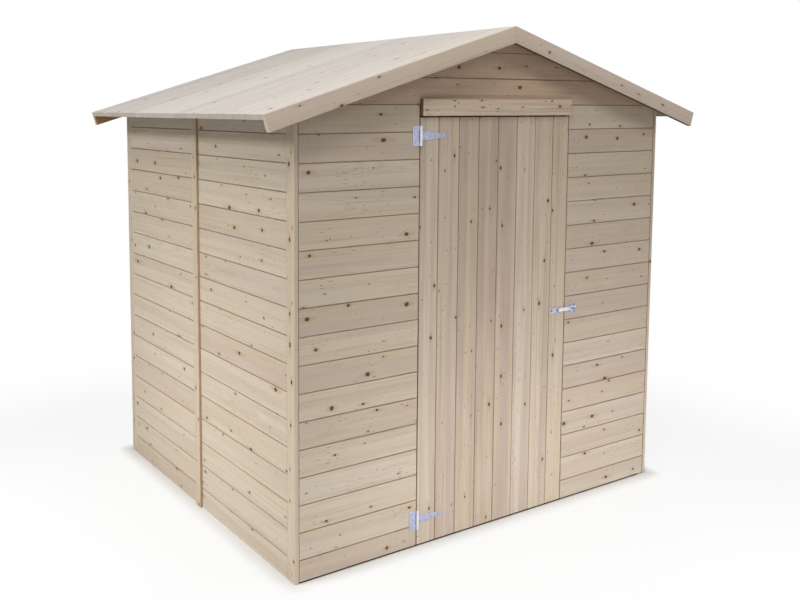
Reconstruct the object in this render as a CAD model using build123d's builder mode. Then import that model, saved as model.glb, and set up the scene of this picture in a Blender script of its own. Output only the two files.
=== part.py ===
from build123d import *
import math
import os

# Wooden garden shed: boarded walls, pitched roof, one door on tee hinges with a hasp.
# Millimetres. +X runs along the front from left to right, the front faces -Y, +Z is up.
# The origin is on the ground, under the middle of the roof's plan.

os.makedirs("parts", exist_ok=True)

# ---------------------------------------------------------------- driving dimensions
# Plan and height
wall_width = 1800.0  # over the corner boards, left to right
wall_depth = 1490.0  # over the front and back cladding
side_overhang = 150.0  # roof beyond the side walls, at its top edge
front_overhang = 75.0  # outer face of the front barge boards beyond the front wall
back_overhang = 40.0  # outer face of the back barge boards beyond the back wall
wall_height = 1611.5  # roof boards' underside at the outer face of the side walls
roof_pitch = 16.8  # degrees

# Boards and battens
board_thickness = 16.0  # wall cladding and corner boards
corner_board_width = 50.0  # face of a corner board, on the side walls
batten_thickness = 14.0  # cover battens and door header
batten_width = 38.0  # cover batten over the joint of two panels
roof_thickness = 18.0
barge_depth = 60.0  # square to the slope
barge_thickness = 18.0
end_wall_lift = 5.0  # front and back cladding stop this far above the ground

# Frame inside the walls
frame_thickness = 28.0  # across the wall
frame_width = 45.0  # along the wall
threshold_height = 20.0
ridge_beam_width = 45.0
ridge_beam_depth = 95.0
purlin_width = 45.0
purlin_depth = 70.0
purlin_place = 0.5  # share of the way from the ridge to the side wall

# Doorway and door
doorway_left = 516.0  # from the shed's left corner to the doorway
doorway_width = 753.0
door_gap = 5.0  # round the leaf, and behind it to the threshold
header_side_gap = 3.0  # doorway's edge to the header's end
header_drop = 40.0  # gable's foot to the header's lower edge
header_height = 61.0
ledge_height = 90.0
ledge_thickness = 20.0
ledge_end_gap = 45.0  # leaf's edge to the ledge's end
brace_width = 90.0  # measured level, along the ledges

# Tee hinges
lower_hinge_rise = 96.0  # leaf's foot to the middle of the lower hinge
upper_hinge_drop = 65.0  # leaf's top to the middle of the upper hinge
hinge_metal = 2.5
hinge_plate_height = 71.0
hinge_plate_reach = 34.0  # pin's axis to the plate's far edge
hinge_strap_reach = 130.0  # pin's axis to the strap's tip
hinge_strap_root = 37.0
hinge_strap_tip = 8.0
hinge_tip_radius = 3.5
hinge_knuckle_radius = 5.0
hinge_pin_radius = 2.5
hinge_end_play = 0.5
hinge_stand_off = 0.5  # knuckle's back to the face of the boards

# Hasp and staple
hasp_height = 798.0
hasp_metal = 2.5
hasp_plate_height = 20.0
hasp_plate_length = 46.0  # far edge to the pin's axis
hasp_pin_inset = 30.5  # pin's axis to the leaf's edge
hasp_strap_length = 100.0
hasp_strap_height = 14.0
hasp_knuckle_radius = 3.5
hasp_pin_radius = 1.5
hasp_end_play = 0.5
hasp_lift = 1.0  # closed strap to the face of the staple's plate
hasp_slot_side_gap = 1.75
hasp_slot_near_gap = 2.25
hasp_slot_far_gap = 4.25  # the strap swings off the staple, so its slot is longer there
staple_plate_size = 40.0
staple_inset = 39.0  # doorway's edge to the middle of the staple
staple_wire = 4.5
staple_spread = 18.0  # between the middles of the legs
staple_reach = 24.0  # wall face to the outside of the bend

# Running fit of every pin
pin_play = 0.05

# ---------------------------------------------------------------- worked-out places
half_width = wall_width / 2
half_span = half_width + side_overhang
roof_angle = math.radians(roof_pitch)
roof_rise = math.tan(roof_angle)
ridge_height = wall_height + half_width * roof_rise + roof_thickness / math.cos(roof_angle)
eave_height = ridge_height - half_span * roof_rise

roof_front = -(front_overhang + wall_depth + back_overhang) / 2
roof_back = -roof_front
wall_front = roof_front + front_overhang
wall_back = roof_back - back_overhang
wall_middle = (wall_front + wall_back) / 2

inside_front = wall_front + board_thickness  # back face of the front cladding
inside_back = wall_back - board_thickness
inside_side = half_width - board_thickness
frame_side = inside_side - frame_thickness
post_front = inside_front + frame_width  # room side of the front corner posts
post_back = inside_back - frame_width


def under_roof(x):
    """Height of the roof boards' underside at a distance x from the ridge."""
    return wall_height + (half_width - abs(x)) * roof_rise


gable_foot = under_roof(inside_side)
header_foot = gable_foot - header_drop
frame_top = header_foot + frame_width

doorway_low = doorway_left - half_width
doorway_high = doorway_low + doorway_width
leaf_low = doorway_low + door_gap
leaf_high = doorway_high - door_gap
leaf_foot = end_wall_lift
leaf_top = header_foot - door_gap
leaf_back = wall_front + board_thickness
hinge_heights = {"lower": leaf_foot + lower_hinge_rise, "upper": leaf_top - upper_hinge_drop}


def section_under_roof(x_low, x_high, z_low, z_high):
    """Section of a board or post, cut to the roof's slope where it reaches the roof."""
    Polygon(
        (-half_span, 0),
        (half_span, 0),
        (half_span, under_roof(half_span)),
        (0, under_roof(0)),
        (-half_span, under_roof(half_span)),
        align=None,
    )
    with Locations(((x_low + x_high) / 2, (z_low + z_high) / 2)):
        Rectangle(x_high - x_low, z_high - z_low, mode=Mode.INTERSECT)


def slope_section(side, depth):
    """Section of one roof slope: its top is the roof's top, its lower end is cut square."""
    Polygon(
        (0, ridge_height),
        (side * half_span, eave_height),
        (
            side * (half_span - depth * math.sin(roof_angle)),
            eave_height - depth * math.cos(roof_angle),
        ),
        (0, ridge_height - depth / math.cos(roof_angle)),
        align=None,
    )


def finish(piece, name):
    """Label a finished piece and write it as its own STEP file."""
    piece.part.label = name
    export_step(piece.part, f"parts/{name}.step")


# ---------------------------------------------------------------- front and back walls
front_panels = {
    "front_wall_left": (-inside_side, doorway_low, end_wall_lift, gable_foot),
    "front_wall_right": (doorway_high, inside_side, end_wall_lift, gable_foot),
    "front_gable": (-inside_side, inside_side, gable_foot, ridge_height),
}
for name, (x_low, x_high, z_low, z_high) in front_panels.items():
    with BuildPart() as front_panel:
        with BuildSketch(Plane.XZ.offset(-wall_front)):
            section_under_roof(x_low, x_high, z_low, z_high)
        extrude(amount=-board_thickness)
    finish(front_panel, name)

back_panels = {
    "back_wall_left": (-inside_side, 0, end_wall_lift, gable_foot),
    "back_wall_right": (0, inside_side, end_wall_lift, gable_foot),
    "back_gable": (-inside_side, inside_side, gable_foot, ridge_height),
}
for name, (x_low, x_high, z_low, z_high) in back_panels.items():
    with BuildPart() as back_panel:
        with BuildSketch(Plane.XZ.offset(-inside_back)):
            section_under_roof(x_low, x_high, z_low, z_high)
        extrude(amount=-board_thickness)
    finish(back_panel, name)

# ---------------------------------------------------------------- side walls, corners, battens
sides = {
    "left": (-half_width, -inside_side),
    "right": (inside_side, half_width),
}
side_wall_runs = {
    "front": (wall_front + corner_board_width, wall_middle),
    "back": (wall_middle, wall_back - corner_board_width),
}
corner_runs = {
    "front": (wall_front, wall_front + corner_board_width),
    "back": (wall_back - corner_board_width, wall_back),
}
for side, (x_low, x_high) in sides.items():
    for run, (y_low, y_high) in side_wall_runs.items():
        with BuildPart() as side_panel:
            with BuildSketch(Plane.XZ.offset(-y_low)):
                section_under_roof(x_low, x_high, 0, ridge_height)
            extrude(amount=-(y_high - y_low))
        finish(side_panel, f"{side}_wall_{run}")
    for run, (y_low, y_high) in corner_runs.items():
        with BuildPart() as corner_board:
            with BuildSketch(Plane.XZ.offset(-y_low)):
                section_under_roof(x_low, x_high, 0, ridge_height)
            extrude(amount=-(y_high - y_low))
        finish(corner_board, f"corner_board_{run}_{side}")

side_battens = {
    "left": (-half_width - batten_thickness, -half_width),
    "right": (half_width, half_width + batten_thickness),
}
for side, (x_low, x_high) in side_battens.items():
    with BuildPart() as side_batten:
        with BuildSketch(Plane.XZ.offset(-(wall_middle - batten_width / 2))):
            section_under_roof(x_low, x_high, 0, ridge_height)
        extrude(amount=-batten_width)
    finish(side_batten, f"{side}_wall_batten")

with BuildPart() as back_wall_batten:
    with BuildSketch(Plane.XZ.offset(-wall_back)):
        section_under_roof(-batten_width / 2, batten_width / 2, 0, ridge_height)
    extrude(amount=-batten_thickness)
finish(back_wall_batten, "back_wall_batten")

# ---------------------------------------------------------------- frame inside the walls
with BuildPart() as corner_posts:
    for y_low in (inside_front, post_back):
        with BuildSketch(Plane.XZ.offset(-y_low)):
            section_under_roof(-inside_side, -frame_side, end_wall_lift, ridge_height)
        extrude(amount=-frame_width)
        with BuildSketch(Plane.XZ.offset(-y_low)):
            section_under_roof(frame_side, inside_side, end_wall_lift, ridge_height)
        extrude(amount=-frame_width)
finish(corner_posts, "corner_posts")

with BuildPart() as side_sills:
    for x_middle in (-(inside_side + frame_side) / 2, (inside_side + frame_side) / 2):
        with BuildSketch(Plane.XY):
            with Locations((x_middle, wall_middle)):
                Rectangle(frame_thickness, post_back - post_front)
    extrude(amount=frame_width)
finish(side_sills, "side_sills")

with BuildPart() as front_sills:
    with BuildSketch(Plane.XY):
        for x_low, x_high in ((-frame_side, doorway_low), (doorway_high, frame_side)):
            with Locations(((x_low + x_high) / 2, inside_front + frame_thickness / 2)):
                Rectangle(x_high - x_low, frame_thickness)
    extrude(amount=frame_width)
finish(front_sills, "front_sills")

with BuildPart() as door_threshold:
    with BuildSketch(Plane.XY):
        with Locations(((doorway_low + doorway_high) / 2, leaf_back + door_gap)):
            Rectangle(doorway_width, frame_thickness, align=(Align.CENTER, Align.MIN))
    extrude(amount=threshold_height)
finish(door_threshold, "door_threshold")

with BuildPart() as back_sill:
    with BuildSketch(Plane.XY):
        with Locations((0, inside_back)):
            Rectangle(2 * frame_side, frame_thickness, align=(Align.CENTER, Align.MAX))
    extrude(amount=frame_width)
finish(back_sill, "back_sill")

with BuildPart() as wall_studs:
    with BuildSketch(Plane.XY.offset(frame_width)):
        for x_middle in (-(inside_side + frame_side) / 2, (inside_side + frame_side) / 2):
            with Locations((x_middle, wall_middle)):
                Rectangle(frame_thickness, frame_width)
        with Locations((0, inside_back)):
            Rectangle(frame_width, frame_thickness, align=(Align.CENTER, Align.MAX))
    extrude(amount=header_foot - frame_width)
finish(wall_studs, "wall_studs")

with BuildPart() as door_posts:
    with BuildSketch(Plane.XY.offset(frame_width)):
        for x_middle in (doorway_low - frame_width / 2, doorway_high + frame_width / 2):
            with Locations((x_middle, inside_front + frame_thickness / 2)):
                Rectangle(frame_width, frame_thickness)
    extrude(amount=header_foot - frame_width)
finish(door_posts, "door_posts")

with BuildPart() as side_top_rails:
    with BuildSketch(Plane.XZ.offset(-post_front)):
        section_under_roof(-inside_side, -frame_side, header_foot, ridge_height)
    extrude(amount=-(post_back - post_front))
    with BuildSketch(Plane.XZ.offset(-post_front)):
        section_under_roof(frame_side, inside_side, header_foot, ridge_height)
    extrude(amount=-(post_back - post_front))
finish(side_top_rails, "side_top_rails")

end_rails = {
    "front_top_rail": inside_front,
    "back_top_rail": inside_back - frame_thickness,
}
for name, y_low in end_rails.items():
    with BuildPart() as end_rail:
        with BuildSketch(Plane.XZ.offset(-y_low)):
            section_under_roof(-frame_side, frame_side, header_foot, frame_top)
        extrude(amount=-frame_thickness)
    finish(end_rail, name)

# ---------------------------------------------------------------- roof
with BuildPart() as ridge_beam:
    with BuildSketch(Plane.XZ.offset(-inside_front)):
        section_under_roof(
            -ridge_beam_width / 2,
            ridge_beam_width / 2,
            under_roof(0) - ridge_beam_depth,
            ridge_height,
        )
    extrude(amount=-(inside_back - inside_front))
finish(ridge_beam, "ridge_beam")

purlin_middle = purlin_place * half_width
purlin_low = purlin_middle - purlin_width / 2
purlin_high = purlin_middle + purlin_width / 2
purlin_foot = under_roof(purlin_high) - purlin_depth
with BuildPart() as roof_purlins:
    with BuildSketch(Plane.XZ.offset(-inside_front)):
        section_under_roof(-purlin_high, -purlin_low, purlin_foot, ridge_height)
    extrude(amount=-(inside_back - inside_front))
    with BuildSketch(Plane.XZ.offset(-inside_front)):
        section_under_roof(purlin_low, purlin_high, purlin_foot, ridge_height)
    extrude(amount=-(inside_back - inside_front))
finish(roof_purlins, "roof_purlins")

slopes = {"left": -1, "right": 1}
barge_places = {"front": roof_front, "back": roof_back - barge_thickness}
for side, direction in slopes.items():
    with BuildPart() as roof_slope:
        with BuildSketch(Plane.XZ.offset(-(roof_front + barge_thickness))):
            slope_section(direction, roof_thickness)
        extrude(amount=-(roof_back - roof_front - 2 * barge_thickness))
    finish(roof_slope, f"roof_{side}")
    for end, y_low in barge_places.items():
        with BuildPart() as barge_board:
            with BuildSketch(Plane.XZ.offset(-y_low)):
                slope_section(direction, barge_depth)
            extrude(amount=-barge_thickness)
        finish(barge_board, f"barge_board_{end}_{side}")

# ---------------------------------------------------------------- door header and leaf
with BuildPart() as door_header:
    with BuildSketch(Plane.XZ.offset(-wall_front)):
        with Locations(((doorway_low + doorway_high) / 2, header_foot)):
            Rectangle(
                doorway_width - 2 * header_side_gap,
                header_height,
                align=(Align.CENTER, Align.MIN),
            )
    extrude(amount=batten_thickness)
finish(door_header, "door_header")

with BuildPart() as door_leaf:
    with BuildSketch(Plane.XZ.offset(-wall_front)):
        with Locations(((leaf_low + leaf_high) / 2, leaf_foot)):
            Rectangle(
                leaf_high - leaf_low,
                leaf_top - leaf_foot,
                align=(Align.CENTER, Align.MIN),
            )
    extrude(amount=-board_thickness)
finish(door_leaf, "door_leaf")

ledge_low = leaf_low + ledge_end_gap
ledge_high = leaf_high - ledge_end_gap
with BuildPart() as door_ledges:
    with BuildSketch(Plane.XZ.offset(-leaf_back)):
        for height in hinge_heights.values():
            with Locations(((ledge_low + ledge_high) / 2, height)):
                Rectangle(ledge_high - ledge_low, ledge_height)
    extrude(amount=-ledge_thickness)
finish(door_ledges, "door_ledges")

brace_foot = hinge_heights["lower"] + ledge_height / 2
brace_top = hinge_heights["upper"] - ledge_height / 2
with BuildPart() as door_brace:
    with BuildSketch(Plane.XZ.offset(-leaf_back)):
        Polygon(
            (ledge_low, brace_foot),
            (ledge_low + brace_width, brace_foot),
            (ledge_high, brace_top),
            (ledge_high - brace_width, brace_top),
            align=None,
        )
    extrude(amount=-ledge_thickness)
finish(door_brace, "door_brace")

# ---------------------------------------------------------------- tee hinges
hinge_x = doorway_low + door_gap / 2
hinge_y = wall_front - hinge_stand_off - hinge_knuckle_radius
knuckle_room = hinge_knuckle_radius + hinge_end_play

for name, height in hinge_heights.items():
    plate_foot = height - hinge_plate_height / 2
    strap_foot = height - hinge_strap_root / 2

    with BuildPart() as hinge_plate:
        with BuildSketch(Plane.XY.offset(plate_foot)):
            with Locations((hinge_x, wall_front)):
                Rectangle(hinge_plate_reach, hinge_metal, align=(Align.MAX, Align.MAX))
            with Locations((hinge_x, hinge_y)):
                Circle(hinge_knuckle_radius)
        extrude(amount=hinge_plate_height)
        with BuildSketch(Plane.XY.offset(strap_foot - hinge_end_play)):
            with Locations((hinge_x, wall_front)):
                Rectangle(
                    2 * knuckle_room,
                    wall_front - hinge_y + knuckle_room,
                    align=(Align.CENTER, Align.MAX),
                )
        extrude(amount=hinge_strap_root + 2 * hinge_end_play, mode=Mode.SUBTRACT)
        with BuildSketch(Plane.XY.offset(plate_foot)):
            with Locations((hinge_x, hinge_y)):
                Circle(hinge_pin_radius)
        extrude(amount=hinge_plate_height)
    finish(hinge_plate, f"{name}_hinge_plate")

    with BuildPart() as hinge_strap:
        with BuildSketch(Plane.XZ.offset(-wall_front)) as strap_outline:
            Polygon(
                (hinge_x, height - hinge_strap_root / 2),
                (hinge_x + hinge_strap_reach, height - hinge_strap_tip / 2),
                (hinge_x + hinge_strap_reach, height + hinge_strap_tip / 2),
                (hinge_x, height + hinge_strap_root / 2),
                align=None,
            )
            tip_corners = strap_outline.vertices().group_by(Axis.X)[-1]
            fillet(tip_corners, radius=hinge_tip_radius)
        extrude(amount=hinge_metal)
        with BuildSketch(Plane.XY.offset(strap_foot)):
            with Locations((hinge_x, hinge_y)):
                Circle(hinge_knuckle_radius)
        extrude(amount=hinge_strap_root)
        with BuildSketch(Plane.XY.offset(strap_foot)):
            with Locations((hinge_x, hinge_y)):
                Circle(hinge_pin_radius + pin_play)
        extrude(amount=hinge_strap_root, mode=Mode.SUBTRACT)
    finish(hinge_strap, f"{name}_hinge_strap")

# ---------------------------------------------------------------- hasp and staple
hasp_x = leaf_high - hasp_pin_inset
strap_back = wall_front - hasp_metal - hasp_lift
hasp_y = strap_back - hasp_metal / 2
hasp_plate_foot = hasp_height - hasp_plate_height / 2
hasp_strap_foot = hasp_height - hasp_strap_height / 2
hasp_room = hasp_knuckle_radius + hasp_end_play
staple_x = doorway_high + staple_inset
staple_half = staple_spread / 2
slot_low = staple_x - staple_half - staple_wire / 2 - hasp_slot_near_gap
slot_high = staple_x + staple_half + staple_wire / 2 + hasp_slot_far_gap
slot_height = staple_wire + 2 * hasp_slot_side_gap

with BuildPart() as hasp_plate:
    with BuildSketch(Plane.XY.offset(hasp_plate_foot)):
        with Locations((hasp_x, wall_front)):
            Rectangle(hasp_plate_length, hasp_metal, align=(Align.MAX, Align.MAX))
        with Locations((hasp_x, hasp_y)):
            Circle(hasp_knuckle_radius)
    extrude(amount=hasp_plate_height)
    with BuildSketch(Plane.XY.offset(hasp_strap_foot - hasp_end_play)):
        with Locations((hasp_x, wall_front)):
            Rectangle(
                2 * hasp_room,
                wall_front - hasp_y + hasp_room,
                align=(Align.CENTER, Align.MAX),
            )
    extrude(amount=hasp_strap_height + 2 * hasp_end_play, mode=Mode.SUBTRACT)
    with BuildSketch(Plane.XY.offset(hasp_plate_foot)):
        with Locations((hasp_x, hasp_y)):
            Circle(hasp_pin_radius)
    extrude(amount=hasp_plate_height)
finish(hasp_plate, "hasp_plate")

with BuildPart() as hasp_strap:
    with BuildSketch(Plane.XZ.offset(-strap_back)):
        with Locations((hasp_x, hasp_height)):
            Rectangle(hasp_strap_length, hasp_strap_height, align=(Align.MIN, Align.CENTER))
    extrude(amount=hasp_metal)
    with BuildSketch(Plane.XY.offset(hasp_strap_foot)):
        with Locations((hasp_x, hasp_y)):
            Circle(hasp_knuckle_radius)
    extrude(amount=hasp_strap_height)
    with BuildSketch(Plane.XY.offset(hasp_strap_foot)):
        with Locations((hasp_x, hasp_y)):
            Circle(hasp_pin_radius + pin_play)
    extrude(amount=hasp_strap_height, mode=Mode.SUBTRACT)
    with BuildSketch(Plane.XZ.offset(-strap_back)):
        with Locations(((slot_low + slot_high) / 2, hasp_height)):
            SlotOverall(slot_high - slot_low, slot_height)
    extrude(amount=hasp_metal, mode=Mode.SUBTRACT)
finish(hasp_strap, "hasp_strap")

bend_y = wall_front - staple_reach + staple_wire / 2 + staple_half
with BuildPart() as hasp_staple:
    with BuildSketch(Plane.XZ.offset(-wall_front)):
        with Locations((staple_x, hasp_height)):
            Rectangle(staple_plate_size, staple_plate_size)
    extrude(amount=hasp_metal)
    with BuildLine(Plane.XY.offset(hasp_height)) as staple_path:
        near_leg = Line((staple_x - staple_half, wall_front), (staple_x - staple_half, bend_y))
        bend = ThreePointArc(
            near_leg @ 1,
            (staple_x, bend_y - staple_half),
            (staple_x + staple_half, bend_y),
        )
        Line(bend @ 1, (staple_x + staple_half, wall_front))
    with BuildSketch(Plane(origin=staple_path.line @ 0, z_dir=staple_path.line % 0)):
        Circle(staple_wire / 2)
    sweep()
finish(hasp_staple, "hasp_staple")
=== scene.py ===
import logging
import math
from dataclasses import dataclass, field, replace
from enum import Enum
from typing import Callable, Sequence

import bpy
import numpy as np
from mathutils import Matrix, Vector


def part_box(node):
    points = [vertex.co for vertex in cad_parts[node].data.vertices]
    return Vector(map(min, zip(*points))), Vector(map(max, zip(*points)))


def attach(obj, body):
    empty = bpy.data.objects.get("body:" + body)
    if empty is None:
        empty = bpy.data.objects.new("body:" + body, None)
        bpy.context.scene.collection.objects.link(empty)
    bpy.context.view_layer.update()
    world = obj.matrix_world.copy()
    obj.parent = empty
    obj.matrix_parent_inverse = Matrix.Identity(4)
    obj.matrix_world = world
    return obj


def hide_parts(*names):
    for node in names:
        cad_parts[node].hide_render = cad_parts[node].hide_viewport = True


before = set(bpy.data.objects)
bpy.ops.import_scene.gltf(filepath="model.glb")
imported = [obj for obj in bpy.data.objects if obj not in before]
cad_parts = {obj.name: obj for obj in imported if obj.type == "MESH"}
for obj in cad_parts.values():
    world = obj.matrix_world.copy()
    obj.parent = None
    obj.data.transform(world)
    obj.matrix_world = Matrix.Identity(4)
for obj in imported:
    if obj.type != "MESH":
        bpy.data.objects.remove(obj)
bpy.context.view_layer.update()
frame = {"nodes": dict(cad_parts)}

# The looks of a small boarded garden shed, in metres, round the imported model.
# +X runs along the front from left to right, the front faces -Y, and +Z is up.

Array = np.ndarray
Random = np.random.Generator
Socket = bpy.types.NodeSocket
Place = Callable[[Array, Array], Array]
Pair = tuple[float, float]
Triple = tuple[float, float, float]
Colour = tuple[float, float, float, float]
Shell = tuple[Array, list, Array]
Raw = Sequence[tuple[Sequence[float], float]]

ORIGIN: Triple = (0.0, 0.0, 0.0)
LEFT: Triple = (-1.0, 0.0, 0.0)
RIGHT: Triple = (1.0, 0.0, 0.0)
FRONT: Triple = (0.0, -1.0, 0.0)
BACK: Triple = (0.0, 1.0, 0.0)
DOWN: Triple = (0.0, 0.0, -1.0)
UP: Triple = (0.0, 0.0, 1.0)
WHITE: Colour = (1.0, 1.0, 1.0, 1.0)

log = logging.getLogger("shed")


# ---------------------------------------------------------------- named options
class Body(Enum):
    """The bodies that a piece can ride on."""

    SHED = "shed"
    DOOR = "door"
    HASP = "hasp"


class Slot(Enum):
    """The record's material slots."""

    WALL = "wall_boards"
    DOOR = "door_boards"
    TRIM = "trim_boards"
    ROOF = "roof_boards"
    FRAME = "frame_timber"
    ZINC = "zinc_hardware"


class Kind(Enum):
    """What a piece is made of, as its name ends."""

    BOARDS = "boards"
    BOARD = "board"
    TIMBER = "timber"
    LATH = "lath"
    METAL = "metal"


class Edge(Enum):
    """How the long edge of a board is worked."""

    JOINT = "tongue or groove"
    SAWN = "plain"


class Run(Enum):
    """The way that the grain of a square timber runs, with its two cross directions."""

    X = (RIGHT, BACK, UP)
    Y = (BACK, UP, RIGHT)
    Z = (UP, RIGHT, BACK)


# ---------------------------------------------------------------- shapes as arrays
@dataclass(frozen=True)
class Axes:
    """Where a form stands: an origin, the way along it, across it and out of its face."""

    origin: Sequence[float]
    along: Sequence[float]
    across: Sequence[float]
    out: Sequence[float]

    def left_handed(self) -> bool:
        """Say whether along points against across times out."""
        return float(np.dot(np.cross(self.across, self.out), self.along)) < 0


def carried(profiles: Array, places: Array, axes: Axes, ring: bool = False) -> Shell:
    """Carry a closed profile along a line, which may change on the way.

    Point (i, j) = origin + places[i, j] * along + profiles[i, j, 0] * across
    + profiles[i, j, 1] * out. Neighbouring stations i are joined by four-sided faces, and
    the first and last are closed by one face each, or joined to each other in a ring.

    Args:
        profiles: Counter-clockwise outlines, shape (stations or 1, points, 2).
        places: How far along each point lies, shape (stations, points or 1).
        axes: The frame that the form stands in.
        ring: Join the last station to the first instead of closing both.

    Returns:
        The points, the faces, and each point's own (along, across, out).
    """
    stations, count = np.broadcast_shapes(places.shape, profiles.shape[:2])
    own = np.empty((stations, count, 3))
    own[..., 0] = places
    own[..., 1:] = profiles
    own = own.reshape(-1, 3)
    turn = np.array([axes.along, axes.across, axes.out], float)
    points = np.asarray(axes.origin, float) + own @ turn
    grid = np.arange(stations * count).reshape(stations, count)
    near, far = (grid, np.roll(grid, -1, axis=0)) if ring else (grid[:-1], grid[1:])
    faces = np.stack([near, np.roll(near, -1, 1), np.roll(far, -1, 1), far], -1).reshape(-1, 4).tolist()
    if not ring:
        faces += [grid[0, ::-1].tolist(), grid[-1].tolist()]
    if axes.left_handed():
        faces = [face[::-1] for face in faces]
    return points, faces, own


def soft_rectangle(low: Sequence[float], high: Sequence[float], radius: float, steps: int = 3) -> Array:
    """Outline of a rectangle with rounded corners, counter-clockwise.

    Each corner's points = its inner centre + radius * (cos, sin) of angles over a quarter.

    Args:
        low: Lower left corner.
        high: Upper right corner.
        radius: Radius of the corners.
        steps: Faces round one corner.

    Returns:
        Points, shape (4 * (steps + 1), 2).
    """
    quarter = np.linspace(0, math.pi / 2, steps + 1)
    angles = np.concatenate([quarter + k * math.pi / 2 for k in range(4)])
    left, bottom = np.asarray(low, float) + radius
    right, top = np.asarray(high, float) - radius
    centres = np.array([(right, top), (left, top), (left, bottom), (right, bottom)])
    return np.repeat(centres, steps + 1, axis=0) + radius * np.stack([np.cos(angles), np.sin(angles)], -1)


def inset_rectangle(low: Array, high: Array, radius: float, steps: int) -> Callable[[float], Array]:
    """A function from an inset to a soft rectangle that is drawn in by it."""
    return lambda inset: soft_rectangle(low + inset, high - inset, radius - inset, steps)


def circle(radius: float, count: int, centre: Sequence[float] = (0.0, 0.0)) -> Array:
    """Outline of a circle: centre + radius * (cos, sin), counter-clockwise."""
    angles = np.linspace(0, 2 * math.pi, count, endpoint=False)
    return np.asarray(centre, float) + radius * np.stack([np.cos(angles), np.sin(angles)], -1)


def level(value: float) -> Place:
    """A cut square to the run, at one place along it."""
    return lambda across, out: np.full_like(across, value)


def seeded(seed: int) -> Random:
    """A part's own random generator, which always draws the same numbers."""
    return field(default_factory=lambda: np.random.default_rng(seed))


def ranges(node: str) -> tuple[Pair, Pair, Pair]:
    """The ranges in x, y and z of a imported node's box."""
    return tuple(zip(*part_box(node)))


def ends(span: Pair, width: float) -> tuple[Pair, Pair]:
    """The two stretches of one width at the ends of a span."""
    return (span[0], span[0] + width), (span[1] - width, span[1])


@dataclass(frozen=True)
class Finish:
    """A wired material, and the record's slot that it fills."""

    material: bpy.types.Material
    slot: Slot


@dataclass
class Form:
    """Closed shells gathered for one piece, with what a wood finish reads at each point."""

    rng: Random
    points: list[Array] = field(default_factory=list)
    faces: list[list[int]] = field(default_factory=list)
    grain: list[Array] = field(default_factory=list)
    tone: list[Array] = field(default_factory=list)
    count: int = 0
    grain_reach: Pair = (30.0, 6.0)
    raw_reach: float = 0.66
    sharp: float = 35.0

    def add(self, shell: Shell, lift: float = 0.0, held: float | None = None) -> "Form":
        """Add one shell, with its own stretch of grain and its own tone.

        Args:
            shell: Points, faces and each point's (along, across, out).
            lift: Added to the tone's first value, to make this shell paler or darker.
            held: Stands for the tone's first value instead of the draw.

        Returns:
            The form itself.
        """
        points, faces, own = shell
        shift = np.array([*(self.rng.uniform(0, reach) for reach in self.grain_reach), 0.0])
        tone = self.rng.uniform(0, 1, 3)
        tone[0] = np.clip(tone[0] + lift, 0, 1) if held is None else held
        self.points.append(points)
        self.faces += [[corner + self.count for corner in face] for face in faces]
        self.grain.append(own + shift)
        self.tone.append(np.tile(tone, (len(points), 1)))
        self.count += len(points)
        return self

    def piece(
        self,
        node: str,
        kind: Kind,
        finish: Finish,
        body: Body = Body.SHED,
        raw: Raw = (),
        stands: bool = True,
    ) -> bpy.types.Object:
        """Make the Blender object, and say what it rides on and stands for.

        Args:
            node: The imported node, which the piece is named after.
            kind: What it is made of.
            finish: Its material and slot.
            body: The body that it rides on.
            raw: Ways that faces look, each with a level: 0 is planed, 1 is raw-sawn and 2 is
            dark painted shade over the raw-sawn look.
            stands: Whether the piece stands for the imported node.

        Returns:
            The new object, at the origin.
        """
        name = f"{node}_{kind.value}"
        mesh = bpy.data.meshes.new(name)
        mesh.from_pydata(np.concatenate(self.points).tolist(), [], self.faces)
        for label, values in (("grain", self.grain), ("tone", self.tone)):
            attribute = mesh.attributes.new(label, "FLOAT_VECTOR", "POINT")
            attribute.data.foreach_set("vector", np.concatenate(values).astype(np.float32).ravel())
        normals = np.empty(len(mesh.polygons) * 3, np.float32)
        mesh.polygons.foreach_get("normal", normals)
        shares = np.zeros(len(mesh.polygons), np.float32)
        for way, share in raw:
            shares[normals.reshape(-1, 3) @ np.asarray(way, np.float32) > self.raw_reach] = share
        mesh.attributes.new("raw", "FLOAT", "FACE").data.foreach_set("value", shares)
        mesh.shade_smooth()
        mesh.set_sharp_from_angle(angle=math.radians(self.sharp))
        mesh.materials.append(finish.material)
        mesh.validate()
        made = bpy.data.objects.new(name, mesh)
        bpy.context.scene.collection.objects.link(made)
        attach(made, body.value)
        if stands:
            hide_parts(node)
        log.info("%s: %d points, %d faces, rides on %s", name, self.count, len(self.faces), body.value)
        return made


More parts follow.
